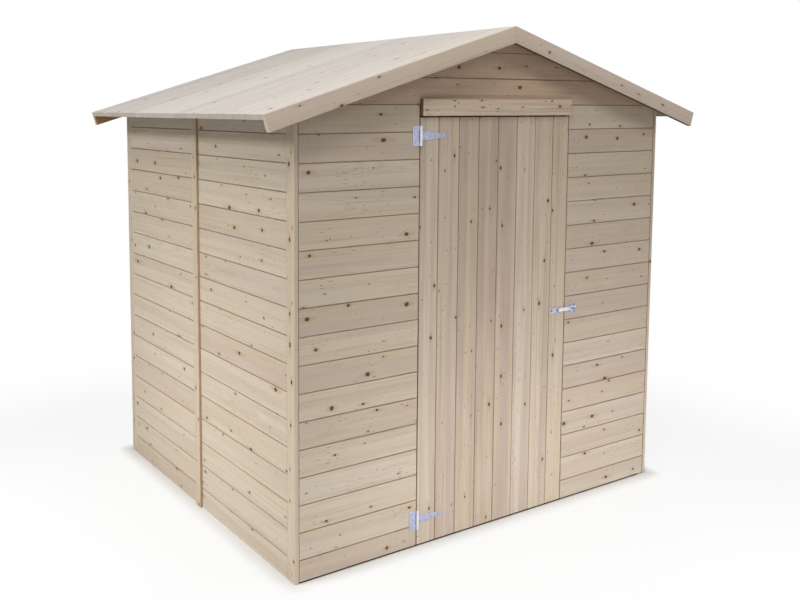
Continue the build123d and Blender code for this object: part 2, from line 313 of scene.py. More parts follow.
# ---------------------------------------------------------------- shader wiring
class Wiring:
    """Short ways to place and join the nodes of one material or world."""

    def __init__(self, owner: bpy.types.ID, output: str = "ShaderNodeOutputMaterial") -> None:
        """Start an empty tree.

        Args:
            owner: The new material or world.
            output: The kind of its output node.
        """
        owner.use_nodes = True
        self.owner = owner
        self.tree = owner.node_tree
        self.tree.nodes.clear()
        self.output = self.node(output)

    def node(self, kind: str, **settings: object) -> bpy.types.Node:
        """Place a node and set its own properties.

        Args:
            kind: The type of node.
            settings: Its own properties by name.

        Returns:
            The node.
        """
        made = self.tree.nodes.new(kind)
        for key, value in settings.items():
            setattr(made, key, value)
        return made

    def join(self, source: object, target: Socket) -> None:
        """Link a socket to a socket, or set a number or colour on it."""
        if isinstance(source, Socket):
            self.tree.links.new(source, target)
        else:
            target.default_value = source

    def fed(self, kind: str, *values: object, **settings: object) -> bpy.types.Node:
        """Place a node and give its first inputs their values.

        Args:
            kind: The type of node.
            values: A socket, number or colour for each of its first inputs.
            settings: Its own properties by name.

        Returns:
            The node.
        """
        made = self.node(kind, **settings)
        for place, value in enumerate(values):
            self.join(value, made.inputs[place])
        return made

    def math(self, operation: str, *values: object) -> Socket:
        """One step of arithmetic on numbers or sockets."""
        return self.fed("ShaderNodeMath", *values, operation=operation).outputs[0]

    def times(self, first: object, second: object) -> Socket:
        """The product of two numbers."""
        return self.math("MULTIPLY", first, second)

    def line(self, value: object, slope: object, start: object) -> Socket:
        """A value times a slope, plus a start."""
        return self.math("MULTIPLY_ADD", value, slope, start)

    def length(self, first: object, second: object) -> Socket:
        """The square root of the sum of two squares."""
        return self.math("SQRT", self.math("ADD", self.times(first, first), self.times(second, second)))

    def spread(self, value: object, low: float, high: float, to_low: float, to_high: float) -> Socket:
        """Carry a value from one range to another, smoothly, and hold it there."""
        given = (value, low, high, to_low, to_high)
        return self.fed("ShaderNodeMapRange", *given, interpolation_type="SMOOTHSTEP").outputs[0]

    def split(self, vector: object) -> Sequence[Socket]:
        """The three parts of a vector."""
        return self.fed("ShaderNodeSeparateXYZ", vector).outputs

    def vector(self, x: object, y: object, z: object) -> Socket:
        """A vector from three numbers or sockets."""
        return self.fed("ShaderNodeCombineXYZ", x, y, z).outputs[0]

    def scaled(self, vector: object, scale: Triple) -> Socket:
        """A vector with each part multiplied by its own number."""
        return self.fed("ShaderNodeVectorMath", vector, scale, operation="MULTIPLY").outputs[0]

    def attribute(self, name: str, output: str = "Vector") -> Socket:
        """One of the piece's own attributes."""
        return self.node("ShaderNodeAttribute", attribute_name=name).outputs[output]

    def noise(
        self, vector: object, detail: float = 2.0, roughness: float = 0.5, output: str = "Fac"
    ) -> Socket:
        """A noise texture of scale 1.

        Args:
            vector: A place, already to scale.
            detail: Number of finer layers on the first.
            roughness: Share that each finer layer keeps.
            output: Name of the output that is read.

        Returns:
            The output.
        """
        made = self.node("ShaderNodeTexNoise")
        given = {"Vector": vector, "Scale": 1.0, "Detail": detail, "Roughness": roughness}
        for name, value in given.items():
            self.join(value, made.inputs[name])
        return made.outputs[output]

    def blend(self, share: object, first: object, second: object, mode: str = "MIX") -> Socket:
        """Mix two colours.

        Args:
            share: The second colour's share, from 0 to 1.
            first: The colour at a share of 0.
            second: The colour at a share of 1.
            mode: How the second colour is laid on the first.

        Returns:
            The mixed colour.
        """
        made = self.node("ShaderNodeMix", data_type="RGBA", blend_type=mode, clamp_factor=True)
        self.join(share, made.inputs["Factor"])
        self.join(first, made.inputs[6])
        self.join(second, made.inputs[7])
        return made.outputs[2]

    def layers(self, base: object, *layers: tuple[object, object]) -> object:
        """Lay colours over a base, one after another, each by its share."""
        for share, colour in layers:
            base = self.blend(share, base, colour)
        return base

    def surface(
        self, base: object, rough: object, bump: tuple[object, float, float], *others: tuple[str, float]
    ) -> None:
        """Join a plain surface to the output.

        Args:
            base: Its colour.
            rough: Its roughness.
            bump: Its relief, with the strength and the height in metres that it is bumped by.
            others: More inputs of the shader, each with its number.
        """
        relief = self.node("ShaderNodeBump")
        for name, value in zip(("Height", "Strength", "Distance"), bump):
            self.join(value, relief.inputs[name])
        shader = self.node("ShaderNodeBsdfPrincipled")
        given = (("Base Color", base), ("Roughness", rough), ("Normal", relief.outputs["Normal"]), *others)
        for name, value in given:
            self.join(value, shader.inputs[name])
        self.join(shader.outputs["BSDF"], self.output.inputs["Surface"])

    def backdrop(self, share: object, lit: bpy.types.Node, white: bpy.types.Node) -> None:
        """Join two shaders to the output, the second where it is looked at, by a share.

        Args:
            share: How much of the second is seen.
            lit: The shader that light meets.
            white: The shader that is seen.
        """
        rays = self.node("ShaderNodeLightPath").outputs
        seen = self.math("MAXIMUM", rays["Is Camera Ray"], rays["Is Glossy Ray"])
        seen = self.math("MAXIMUM", seen, rays["Is Transmission Ray"])
        mix = self.fed("ShaderNodeMixShader", self.times(seen, share), lit.outputs[0], white.outputs[0])
        self.join(mix.outputs[0], self.output.inputs["Surface"])


def paint(red: int, green: int, blue: int) -> Colour:
    """A display colour as the linear colour that a shader takes.

    Args:
        red: Its red, from 0 to 255.
        green: Its green, from 0 to 255.
        blue: Its blue, from 0 to 255.

    Returns:
        The linear colour, with an alpha of 1.
    """
    parts = np.array([red, green, blue]) / 255.0
    linear = np.where(parts <= 0.04045, parts / 12.92, ((parts + 0.055) / 1.055) ** 2.4)
    return (*linear.tolist(), 1.0)


# ---------------------------------------------------------------- finishes
@dataclass(frozen=True)
class PineFinish:
    """Planed or sawn pine: growth rings, fibres, flecks, knots and a tone for each board."""

    name: str
    pale: Colour
    dull: Colour
    warm: Colour
    late_wood: Colour = paint(168, 143, 114)
    knot_core: Colour = paint(108, 80, 56)
    knot_rim: Colour = paint(62, 46, 36)
    knot_glow: Colour = paint(174, 148, 106)
    fleck: Colour = paint(136, 108, 80)
    # The raw-sawn orange. On the barge boards' inner faces it is painted warm bounce light, and on the corner
    # boards' flanks it darkens the joint as painted shade.
    sawn_wood_and_bounce: Colour = paint(202, 152, 92)
    # Painted shade: the dark brown laid on faces whose raw level goes past 1.
    painted_shade: Colour = paint(84, 70, 56)
    ring_spacing: float = 0.0042
    ring_share: float = 0.22
    streak_share: float = 0.34
    band_share: float = 0.6
    tone_share: float = 0.85
    knot_cell: Pair = (0.2, 0.085)
    knot_small: float = 0.0023
    knot_large: float = 0.0072
    knot_power: float = 1.9
    knot_missing: float = 0.4
    pin_cell: Pair = (0.11, 0.05)
    pin_small: float = 0.0009
    pin_spare: float = 0.0019
    pin_missing: float = 0.66
    fleck_cell: Pair = (0.036, 0.0115)
    fleck_small: float = 0.0005
    fleck_spare: float = 0.0008
    fleck_missing: float = 0.55
    fleck_share: float = 0.7
    heart_depth: float = 0.06
    heart_repeat: float = 0.11
    roughness: float = 0.68
    rough_spread: Pair = (0.06, 0.1)
    shine: float = 0.12
    bump: float = 0.00018

    def material(self) -> bpy.types.Material:
        """Wire the finish.

        Returns:
            The material, which reads the piece's grain, tone and raw attributes.
        """
        return PineWiring(self).wired()


class PineWiring(Wiring):
    """The wiring of one pine finish."""

    least: float = 0.00001
    fibre_scale: Triple = (9.0, 760.0, 760.0)
    streak_scale: Triple = (1.6, 95.0, 95.0)
    band_scale: Triple = (0.5, 27.0, 27.0)
    cloud_scale: Triple = (4.0, 12.0, 12.0)
    patch_scale: Triple = (4.5, 13.0, 13.0)
    ragged_scale: Triple = (260.0, 320.0, 0.0)
    shiver_scale: Triple = (14.0, 90.0, 90.0)
    shiver: float = 0.0024
    oval: Pair = (0.5, 1.05)
    glow_oval: Pair = (3.0, 1.6)
    swelling: Pair = (4.5, 2.2)
    dash: Pair = (6.0, 3.0)
    wander_scale: float = 0.9
    wander: Pair = (0.05, 0.09)
    year_scale: float = 130.0
    uneven_years: float = 0.007
    off_raw: float = 5.0
    raw_stain: float = 0.85

    def __init__(self, finish: PineFinish) -> None:
        """Start an empty material and read the piece's own attributes.

        Args:
            finish: The finish to wire.
        """
        super().__init__(bpy.data.materials.new(finish.name))
        self.finish = finish
        self.grain = self.attribute("grain")
        self.along, self.across, self.depth = self.split(self.grain)
        self.tone = self.split(self.attribute("tone"))
        self.raw = self.attribute("raw", "Fac")

    def streaks(
        self, scale: Triple, detail: float = 2.0, roughness: float = 0.5, output: str = "Fac"
    ) -> Socket:
        """A noise stretched along the grain."""
        return self.noise(self.scaled(self.grain, scale), detail, roughness, output)

    def wired(self) -> bpy.types.Material:
        """Wire the wood, its rings, flecks and knots, then its raw-sawn faces and painted shade.

        Returns:
            The material.
        """
        finish, tone, spread = self.finish, self.tone, self.spread
        reach, halo, lean = self.knots()
        pins, flecks, rings = self.pins(), self.flecks(), self.rings(lean)
        # A raw-sawn face shows no knots: they are pushed away from it.
        reach, halo, pins = (self.line(self.raw, self.off_raw, far) for far in (reach, halo, pins))
        fibre = self.streaks(self.fibre_scale, 3.0, 0.6)
        streak = self.streaks(self.streak_scale, 2.0, 0.55)
        band = self.split(self.streaks(self.band_scale, 1.0, output="Color"))
        cloud = self.streaks(self.cloud_scale)
        base = self.layers(
            finish.pale,
            (spread(tone[0], 0.3, 0.8, 0.0, finish.tone_share), finish.dull),
            (spread(tone[1], 0.5, 1.0, 0.0, 0.5 * finish.tone_share), finish.warm),
            (spread(band[0], 0.42, 0.66, 0.0, finish.band_share), finish.dull),
            (spread(band[1], 0.46, 0.7, 0.0, finish.band_share), finish.warm),
            (spread(cloud, 0.4, 0.75, 0.0, 0.3), finish.pale),
            (spread(streak, 0.5, 0.8, 0.0, finish.streak_share), finish.late_wood),
            (self.times(rings, finish.ring_share), finish.late_wood),
            (spread(fibre, 0.5, 0.8, 0.0, 0.2), finish.late_wood),
            (self.times(flecks, finish.fleck_share), finish.fleck),
            (spread(halo, 0.9, 2.2, 0.36, 0.0), finish.knot_glow),
            (spread(reach, 0.84, 1.14, 0.94, 0.0), finish.knot_rim),
            (spread(reach, 0.5, 0.8, 0.8, 0.0), finish.knot_core),
            (spread(pins, 0.7, 1.25, 0.8, 0.0), finish.knot_rim),
        )
        sawn = self.blend(self.raw_stain, base, finish.sawn_wood_and_bounce, "MULTIPLY")
        # Raw from 0 to 1 makes the face raw-sawn; from 1 to 2 it lays painted shade over it, on undersides
        # and ends that sit in shade.
        base = self.layers(
            base,
            (spread(self.raw, 0.0, 1.0, 0.0, 1.0), sawn),
            (spread(self.raw, 1.0, 2.0, 0.0, 1.0), finish.painted_shade),
        )
        smooth, coarse = finish.rough_spread
        rough = spread(fibre, 0.25, 0.8, finish.roughness - smooth, finish.roughness + coarse)
        relief = self.line(rings, 0.55, self.times(fibre, 0.8))
        relief = self.line(spread(reach, 0.7, 1.2, 1.0, 0.0), 0.9, relief)
        self.surface(base, rough, (relief, 0.7, finish.bump), ("Specular IOR Level", finish.shine))
        return self.owner

    def cells(self, cell: Pair) -> tuple[Socket, Socket, Sequence[Socket]]:
        """Scatter one spot in each cell of a net, and measure from it in metres.

        Args:
            cell: A cell's length along the board and its width across it.

        Returns:
            The distances along and across from the nearest spot, and the spot's colour.
        """
        parts = (self.math("DIVIDE", place, size) for place, size in zip((self.along, self.across), cell))
        net = self.vector(*parts, 0.0)
        spots = self.node("ShaderNodeTexVoronoi", voronoi_dimensions="2D", feature="F1")
        for name, value in (("Vector", net), ("Scale", 1.0), ("Randomness", 0.9)):
            self.join(value, spots.inputs[name])
        gap = self.fed("ShaderNodeVectorMath", net, spots.outputs["Position"], operation="SUBTRACT")
        gap_along, gap_across, _ = self.split(gap.outputs[0])
        draw = self.split(spots.outputs["Color"])
        return self.times(gap_along, cell[0]), self.times(gap_across, cell[1]), draw

    def knots(self) -> tuple[Socket, Socket, Socket]:
        """Wire the knots: ovals that lie along the board, some cells empty.

        Returns:
            The distance from a knot in its own radii, the same in a longer oval, and how far
            the knot pushes the grain aside.
        """
        finish = self.finish
        gap_along, gap_across, draw = self.cells(finish.knot_cell)
        size = self.math("POWER", draw[0], finish.knot_power)
        radius = self.line(size, finish.knot_large - finish.knot_small, finish.knot_small)
        shown = self.math("GREATER_THAN", draw[1], finish.knot_missing)
        radius = self.math("MAXIMUM", self.times(radius, shown), self.least)
        reach, halo = (
            self.math(
                "DIVIDE",
                self.length(self.math("DIVIDE", gap_along, self.line(draw[2], slope, start)), gap_across),
                radius,
            )
            for slope, start in (self.oval, self.glow_oval)
        )
        ragged = self.streaks(self.ragged_scale)
        reach = self.math("ADD", reach, self.spread(ragged, 0.3, 0.7, -0.24, 0.24))
        squares = (
            self.math("POWER", self.math("DIVIDE", gap, self.times(radius, width)), 2.0)
            for gap, width in zip((gap_along, gap_across), self.swelling)
        )
        swell = self.math("EXPONENT", self.times(self.math("ADD", *squares), -1.0))
        return reach, halo, self.times(self.times(swell, radius), self.math("SIGN", gap_across))

    def pins(self) -> Socket:
        """Wire the pin knots: small round dots between the knots.

        Returns:
            The distance from a dot in its own radii.
        """
        finish = self.finish
        gap_along, gap_across, draw = self.cells(finish.pin_cell)
        shown = self.math("GREATER_THAN", draw[1], finish.pin_missing)
        radius = self.times(self.line(draw[0], finish.pin_spare, finish.pin_small), shown)
        radius = self.math("MAXIMUM", radius, self.least)
        return self.math("DIVIDE", self.length(gap_along, gap_across), radius)

    def flecks(self) -> Socket:
        """Wire the flecks: short brown dashes that lie along the grain, in patches.

        Returns:
            From 0 on clear wood to 1 on a fleck.
        """
        finish = self.finish
        gap_along, gap_across, draw = self.cells(finish.fleck_cell)
        slim = self.math("DIVIDE", gap_along, self.line(draw[2], *self.dash))
        patch = self.spread(self.streaks(self.patch_scale, 1.0), 0.5, 0.64, 0.0, 1.0)
        shown = self.times(self.math("GREATER_THAN", draw[1], finish.fleck_missing), patch)
        radius = self.line(draw[0], finish.fleck_spare, finish.fleck_small)
        reach = self.math("DIVIDE", self.length(slim, gap_across), radius)
        return self.times(self.spread(reach, 0.6, 1.4, 1.0, 0.0), shown)

    def rings(self, lean: Socket) -> Socket:
        """Wire the growth rings as circles round a heart line that wanders along the board.

        Args:
            lean: How far a knot pushes the grain aside.

        Returns:
            From 0 in early wood to 1 in the dark line of late wood.
        """
        sway = self.vector(self.times(self.along, self.wander_scale), self.tone[2], 0.0)
        sway = self.noise(sway, output="Color")
        sway = [self.math("SUBTRACT", part, 0.5) for part in self.split(sway)[:2]]
        heart_across = self.line(sway[0], self.wander[0], 0.0)
        heart_depth = self.line(sway[1], self.wander[1], -self.finish.heart_depth)
        local = self.math("PINGPONG", self.across, self.finish.heart_repeat)
        aside = self.math("SUBTRACT", self.math("SUBTRACT", local, heart_across), lean)
        below = self.math("SUBTRACT", self.depth, heart_depth)
        radius = self.line(self.streaks(self.shiver_scale), self.shiver, self.length(aside, below))
        years = self.vector(self.times(radius, self.year_scale), self.tone[2], 3.0)
        years = self.noise(years, output="Color")
        width, weight, _ = self.split(years)
        turn = self.math("DIVIDE", self.line(width, self.uneven_years, radius), self.finish.ring_spacing)
        turn = self.math("FRACT", turn)
        line = self.times(self.spread(turn, 0.2, 0.86, 0.0, 1.0), self.spread(turn, 0.88, 1.0, 1.0, 0.0))
        return self.times(line, self.spread(weight, 0.35, 0.65, 0.2, 1.0))


@dataclass(frozen=True)
class ZincFinish:
    """Zinc plate on pressed steel: bluish, with faint clouds, and each part brighter or darker by its level,
    the bright end a painted highlight.
    """

    name: str
    bright: Colour = paint(190, 193, 214)
    blue: Colour = paint(166, 170, 200)
    warm: Colour = paint(184, 175, 192)
    # Painted highlight: the near white that the hasp's strap and the hinge knuckles are painted, for the
    # light that they catch.
    painted_highlight: Colour = paint(232, 233, 236)
    darkened: Colour = paint(84, 76, 86)
    roughness: float = 0.38
    rough_spread: Pair = (0.06, 0.12)
    metallic: float = 0.6
    bump: float = 0.00006

    def material(self) -> bpy.types.Material:
        """Wire the finish.

        Returns:
            The material, which reads Object coordinates and the piece's tone: 0 is painted
            bright as a highlight, 0.5 is as plated and 1 is darkened.
        """
        wire = Wiring(bpy.data.materials.new(self.name))
        place = wire.node("ShaderNodeTexCoord").outputs["Object"]
        sheen_and_dark = wire.split(wire.attribute("tone"))[0]
        cloud, haze, speck = (
            wire.noise(wire.scaled(place, (scale, scale, scale)), detail, roughness)
            for scale, detail, roughness in ((70.0, 3.0, 0.55), (26.0, 2.0, 0.5), (900.0, 2.0, 0.6))
        )
        base = wire.layers(
            self.bright,
            (wire.spread(cloud, 0.35, 0.7, 0.0, 0.8), self.blue),
            (wire.spread(haze, 0.5, 0.75, 0.0, 0.5), self.warm),
            (wire.spread(sheen_and_dark, 0.0, 0.5, 1.0, 0.0), self.painted_highlight),
            (wire.spread(sheen_and_dark, 0.5, 1.0, 0.0, 1.0), self.darkened),
        )
        smooth, coarse = self.rough_spread
        rough = wire.spread(cloud, 0.3, 0.75, self.roughness - smooth, self.roughness + coarse)
        wire.surface(base, rough, (speck, 0.35, self.bump), ("Metallic", self.metallic))
        return wire.owner


@dataclass(frozen=True)
class Finishes:
    """Every finish on the shed, wired once."""

    wall: Finish
    gable: Finish
    door: Finish
    trim: Finish
    barge: Finish
    header: Finish
    roof: Finish
    frame: Finish
    lath: Finish
    zinc: Finish

    @classmethod
    def wired(cls) -> "Finishes":
        """Wire them all.

        Returns:
            The wired finishes.
        """
        wall = PineFinish(
            "wall_pine", paint(209, 197, 181), paint(195, 178, 163), paint(205, 190, 164),
            knot_missing=0.28, knot_large=0.0078,
        )
        # The front gable's warmer, more orange pine is painted warm bounce light of the shade under the
        # roof's edge.
        gable = PineFinish(
            "gable_pine_painted_bounce", paint(213, 190, 167), paint(199, 173, 152), paint(208, 180, 151),
            streak_share=0.5,
        )
        door = PineFinish(
            "door_pine", paint(212, 199, 184), paint(187, 168, 156), paint(205, 190, 164),
            tone_share=1.0, knot_missing=0.34, pin_missing=0.5, knot_large=0.0062,
            streak_share=0.5, band_share=0.8,
        )
        trim = PineFinish(
            "trim_pine", paint(207, 193, 175), paint(196, 181, 165), paint(204, 187, 160),
            knot_cell=(0.12, 0.045), knot_missing=0.3, knot_small=0.0026, knot_large=0.006,
            ring_share=0.16,
        )
        barge = replace(
            trim, name="barge_pine",
            pale=paint(218, 202, 188), dull=paint(208, 193, 185), warm=paint(213, 197, 177),
            knot_missing=0.7, band_share=0.9,
        )
        header = replace(
            trim, name="header_pine",
            pale=paint(220, 202, 182), dull=paint(199, 176, 157), warm=paint(214, 193, 165),
            ring_share=0.4, streak_share=0.6,
        )
        # The roof's greyer base is partly the boards' own colour and partly painted sheen of the white sky.
        roof = PineFinish(
            "roof_pine_painted_sheen", paint(210, 206, 204), paint(194, 186, 183), paint(205, 198, 189),
            ring_share=0.1, streak_share=0.22, band_share=0.8, shine=0.28,
        )
        timber = PineFinish(
            "frame_pine", paint(208, 186, 152), paint(188, 164, 130), paint(204, 174, 130),
            roughness=0.74, bump=0.0004,
        )
        # The near-black lath finish is painted shade: it darkens the gap under the front boards.
        lath = PineFinish(
            "painted_shade_lath", paint(70, 54, 43), paint(52, 41, 33), paint(66, 49, 38),
            late_wood=paint(34, 28, 26), fleck=paint(30, 25, 22), knot_glow=paint(56, 42, 34),
            knot_missing=0.8,
        )
        every = (
            (wall, Slot.WALL), (gable, Slot.WALL), (door, Slot.DOOR), (trim, Slot.TRIM), (barge, Slot.TRIM),
            (header, Slot.TRIM), (roof, Slot.ROOF), (timber, Slot.FRAME), (lath, Slot.FRAME),
            (ZincFinish("zinc_plate"), Slot.ZINC),
        )
        return cls(*(Finish(finish.material(), slot) for finish, slot in every))


# ---------------------------------------------------------------- boards and timbers
@dataclass(frozen=True)
class Board:
    """One board: its section's edges in the panel, and where its two ends are cut.

    Its high_back is the height of a plain upper edge at the back, where it is cut on a slope.
    """

    low: float
    high: float
    start: Place
    end: Place
    low_edge: Edge = Edge.JOINT
    high_edge: Edge = Edge.JOINT
    high_back: float | None = None


def row(
    courses: Sequence[Pair],
    cuts: Callable[[], tuple[Place, Place]],
    first: Edge = Edge.SAWN,
    last: Edge = Edge.SAWN,
) -> list[Board]:
    """Boards laid edge to edge, joined to each other.

    Args:
        courses: Each board's lower and upper edge.
        cuts: Gives the cuts of the next board's two ends.
        first: How the first board's lower edge is worked.
        last: How the last board's upper edge is worked.

    Returns:
        The boards, in order.
    """
    top = len(courses) - 1
    return [
        Board(low, high, *cuts(), Edge.JOINT if place else first, Edge.JOINT if place < top else last)
        for place, (low, high) in enumerate(courses)
    ]


@dataclass(frozen=True)
class BoardSection:
    """Section of a tongued and grooved board with a vee at each joint."""

    cover: float = 0.096
    thickness: float = 0.016
    vee: float = 0.0015
    joint: float = 0.0018
    tongue: float = 0.0058
    tongue_near: float = 0.0062
    tongue_far: float = 0.0102
    slack: float = 0.0004

    def outline(self, board: Board) -> Array:
        """Outline in (across, out), face at out = 0, counter-clockwise.

        The upper edge carries the tongue and the lower edge the groove, half the joint's
        gap is taken off each, and both arrises of the face are cut to the vee.

        Args:
            board: Says where its edges lie and how they are worked.

        Returns:
            Points, shape (n, 2).
        """
        deep = -self.thickness
        near, far = -self.tongue_near, -self.tongue_far
        if board.high_edge is Edge.JOINT:
            top = board.high - self.joint / 2
            tip = top + self.tongue
            upper = [(top, deep), (top, far), (tip, far), (tip, near), (top, near), (top, -self.vee)]
            upper.append((top - self.vee, 0.0))
        else:
            back = board.high if board.high_back is None else board.high_back
            upper = [(back, deep), (board.high, 0.0)]
        if board.low_edge is Edge.JOINT:
            foot = board.low + self.joint / 2
            groove = foot + self.tongue + self.slack
            near, far = near + self.slack, far - self.slack
            lower = [(foot + self.vee, 0.0), (foot, -self.vee), (foot, near), (groove, near)]
            lower += [(groove, far), (foot, far), (foot, deep)]
        else:
            lower = [(board.low, 0.0), (board.low, deep)]
        return np.array(upper + lower)


@dataclass(frozen=True)
class Boarding:
    """A panel of boards laid edge to edge."""

    section: BoardSection
    axes: Axes
    boards: Sequence[Board]
    wave: float = 0.00018
    proud: float = 0.00025
    station: float = 0.16
    lift: float = 0.0
    period_low: float = 0.5
    period_high: float = 1.1

    def form(self, rng: Random) -> Form:
        """Make the shells of every board.

        Each board's outline is carried from its start cut to its end cut. On the way it
        draws in from its plane by wave * (1 - sin(place / wavelength + phase)), and the whole
        board stands in by its own share of proud.

        Args:
            rng: Draws each board's bow, place and tone.

        Returns:
            The form that holds them.
        """
        form = Form(rng)
        for board in self.boards:
            outline = self.section.outline(board)
            start, end = board.start(*outline.T), board.end(*outline.T)
            stations = max(2, int(math.ceil(float(np.max(end - start)) / self.station)) + 1)
            places = start + (end - start) * np.linspace(0, 1, stations)[:, None]
            profiles = np.tile(outline, (stations, 1, 1))
            phase = rng.uniform(0, 2 * math.pi)
            period = rng.uniform(self.period_low, self.period_high)
            bow = self.wave * (np.sin(places / period * 2 * math.pi + phase) - 1)
            profiles[..., 1] += bow - rng.uniform(0, 1) * self.proud
            form.add(carried(profiles, places, self.axes), self.lift)
        return form


@dataclass(frozen=True)
class Timber:
    """A square-edged timber with eased arrises, cut at its ends as told."""

    axes: Axes
    low: Pair
    high: Pair
    start: Place
    end: Place
    arris: float = 0.0015
    station: float = 0.3
    end_round: float = 0.35

    def shell(self) -> Shell:
        """Carry a soft rectangle between the cuts.

        The first and last stations are the rectangle set in by the arris, at the cut; their
        neighbours are the whole rectangle, the arris's width further in. A point's own place
        is measured from the far corner, and its broad way across comes before its thickness.

        Returns:
            Points, faces and each point's (along, across, out).
        """
        low, high = np.array(self.low), np.array(self.high)
        whole = soft_rectangle(low, high, self.arris)
        small = soft_rectangle(low + self.arris, high - self.arris, self.arris * self.end_round)
        start_small, end_small = self.start(*small.T), self.end(*small.T)
        start, end = self.start(*whole.T) + self.arris, self.end(*whole.T) - self.arris
        count = max(2, int(math.ceil(float(np.max(end - start)) / self.station)) + 1)
        share = np.linspace(0, 1, count)[:, None]
        places = np.concatenate([start_small[None], start + (end - start) * share, end_small[None]])
        profiles = np.concatenate([small[None], np.tile(whole, (count, 1, 1)), small[None]])
        points, faces, own = carried(profiles, places, self.axes)
        own[:, 1:] -= high
        return points, faces, own if (high - low)[0] >= (high - low)[1] else own[:, [0, 2, 1]]

    @classmethod
    def in_box(
        cls,
        low: Sequence[float],
        high: Sequence[float],
        run: Run,
        start: Place | None = None,
        end: Place | None = None,
        arris: float = 0.0015,
    ) -> "Timber":
        """A timber that fills a box.

        Args:
            low: The box's lowest corner.
            high: The box's highest corner.
            run: The way of the grain.
            start: Cut of the low end, if it isn't square.
            end: Cut of the high end, if it isn't square.
            arris: How far the arrises are eased.

        Returns:
            The timber.
        """
        along, across, out = (np.array(way) for way in run.value)
        low, high = np.array(low), np.array(high)
        return cls(
            Axes((0.0, 0.0, 0.0), along, across, out),
            (float(low @ across), float(low @ out)),
            (float(high @ across), float(high @ out)),
            start or level(float(low @ along)),
            end or level(float(high @ along)),
            arris,
        )


# ---------------------------------------------------------------- the shed's own lines
@dataclass(frozen=True)
class Roofline:
    """The underside of the roof boards, as the gable shows it."""

    foot_x: float
    foot_z: float
    ridge_z: float
    gap: float = 0.0004

    @classmethod
    def from_gable(cls) -> "Roofline":
        """Read it from the front gable's box."""
        x, _, z = ranges("front_gable")
        return cls(x[1], *z)

    @property
    def rise(self) -> float:
        """Height gained for each metre towards the ridge."""
        return (self.ridge_z - self.foot_z) / self.foot_x

    @property
    def angle(self) -> float:
        """The slope as an angle."""
        return math.atan(self.rise)

    def under(self, x: Array | float) -> Array | float:
        """Height of the roof's underside over x."""
        return self.ridge_z - np.abs(x) * self.rise

    def cut(self, x: Array | float, out: Array | float = 0.0) -> Array | float:
        """The cut of an upright's top, a small gap under the roof."""
        return self.under(x) - self.gap

    def reach(self, z: Array | float) -> Array | float:
        """Distance from the ridge line at which the roof's underside has height z."""
        return (self.ridge_z - z) / self.rise


@dataclass(frozen=True)
class Cladding:
    """Level boards on the four walls and in the two gables."""

    roofline: Roofline
    finishes: Finishes
    section: BoardSection = BoardSection()
    end_gap: float = 0.0006
    left_gap: float = 0.0016
    right_gap: float = 0.0032
    peak_gap: float = 0.001
    nearly: float = 1e-6
    decimals: int = 6
    least_course: float = 0.004
    side_lift: float = -0.2
    edge_raw: Raw = ((UP, 0.45), (DOWN, 0.45))
    rng: Random = seeded(11)

    def courses(self, foot: float, top: float) -> list[Pair]:
        """Split a height into courses, whose joints lie whole covers from the gable's foot.

        Args:
            foot: Lower edge of the panel.
            top: Upper edge of the panel.

        Returns:
            Each course's lower and upper edge, from the bottom.
        """
        cover = self.section.cover
        whole = math.floor((self.roofline.foot_z - foot) / cover + self.nearly)
        joints = np.arange(self.roofline.foot_z - cover * whole, top - self.nearly, cover)
        edges = sorted({round(float(edge), self.decimals) for edge in (foot, *joints, top)})
        return [(low, high) for low, high in zip(edges, edges[1:]) if high - low > self.least_course]

    def end_wall(self, node: str, out: float) -> None:
        """Board one panel of the front or back wall.

        Args:
            node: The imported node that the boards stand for.
            out: -1 for a wall that faces the front, 1 for one that faces the back.
        """
        x, y, z = ranges(node)
        axes = Axes((0.0, y[0] if out < 0 else y[1], 0.0), RIGHT, UP, (0.0, out, 0.0))
        if node.endswith("gable"):
            def reach(across: Array, _: Array) -> Array:
                """Where the right ends meet the roof."""
                return np.minimum(self.roofline.reach(across), x[1]) - self.roofline.gap

            courses = self.courses(z[0], z[1] - self.peak_gap)
            courses[-1] = (courses[-1][0], courses[-1][1] - self.section.tongue)
            cuts = (lambda across, _: -reach(across, _)), reach
            boards = row(courses, lambda: cuts, first=Edge.JOINT)
            # Only the front gable takes the warmer finish with painted bounce light; the back gable takes the
            # wall's.
            finish = self.finishes.gable if out < 0 else self.finishes.wall
        else:
            near = self.left_gap if node.endswith("left") else self.end_gap
            far = self.right_gap if node.endswith("right") else self.end_gap
            cuts = level(x[0] + near), level(x[1] - far)
            boards = row(self.courses(*z), lambda: cuts, last=Edge.JOINT)
            finish = self.finishes.wall
        form = Boarding(self.section, axes, boards).form(self.rng)
        form.piece(node, Kind.BOARDS, finish, raw=self.edge_raw)

    def side_wall(self, node: str, out: float) -> None:
        """Board one panel of a side wall, its top course cut to the roof's slope.

        Args:
            node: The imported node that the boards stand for.
            out: -1 for the left wall, 1 for the right wall.
        """
        x, y, z = ranges(node)
        face, back = x if out < 0 else x[::-1]
        axes = Axes((face, 0.0, 0.0), BACK, UP, (out, 0.0, 0.0))
        cuts = level(y[0] + self.end_gap), level(y[1] - self.end_gap)
        boards = row(self.courses(z[0], float(self.roofline.cut(face))), lambda: cuts)
        boards[-1] = replace(boards[-1], high_back=float(self.roofline.cut(back)))
        form = Boarding(self.section, axes, boards, lift=self.side_lift).form(self.rng)
        form.piece(node, Kind.BOARDS, self.finishes.wall, raw=self.edge_raw)

    def build(self) -> None:
        """Board every panel."""
        for side, out in (("front", -1.0), ("back", 1.0)):
            for panel in ("wall_left", "wall_right", "gable"):
                self.end_wall(f"{side}_{panel}", out)
        for side, out in (("left", -1.0), ("right", 1.0)):
            for panel in ("front", "back"):
                self.side_wall(f"{side}_wall_{panel}", out)


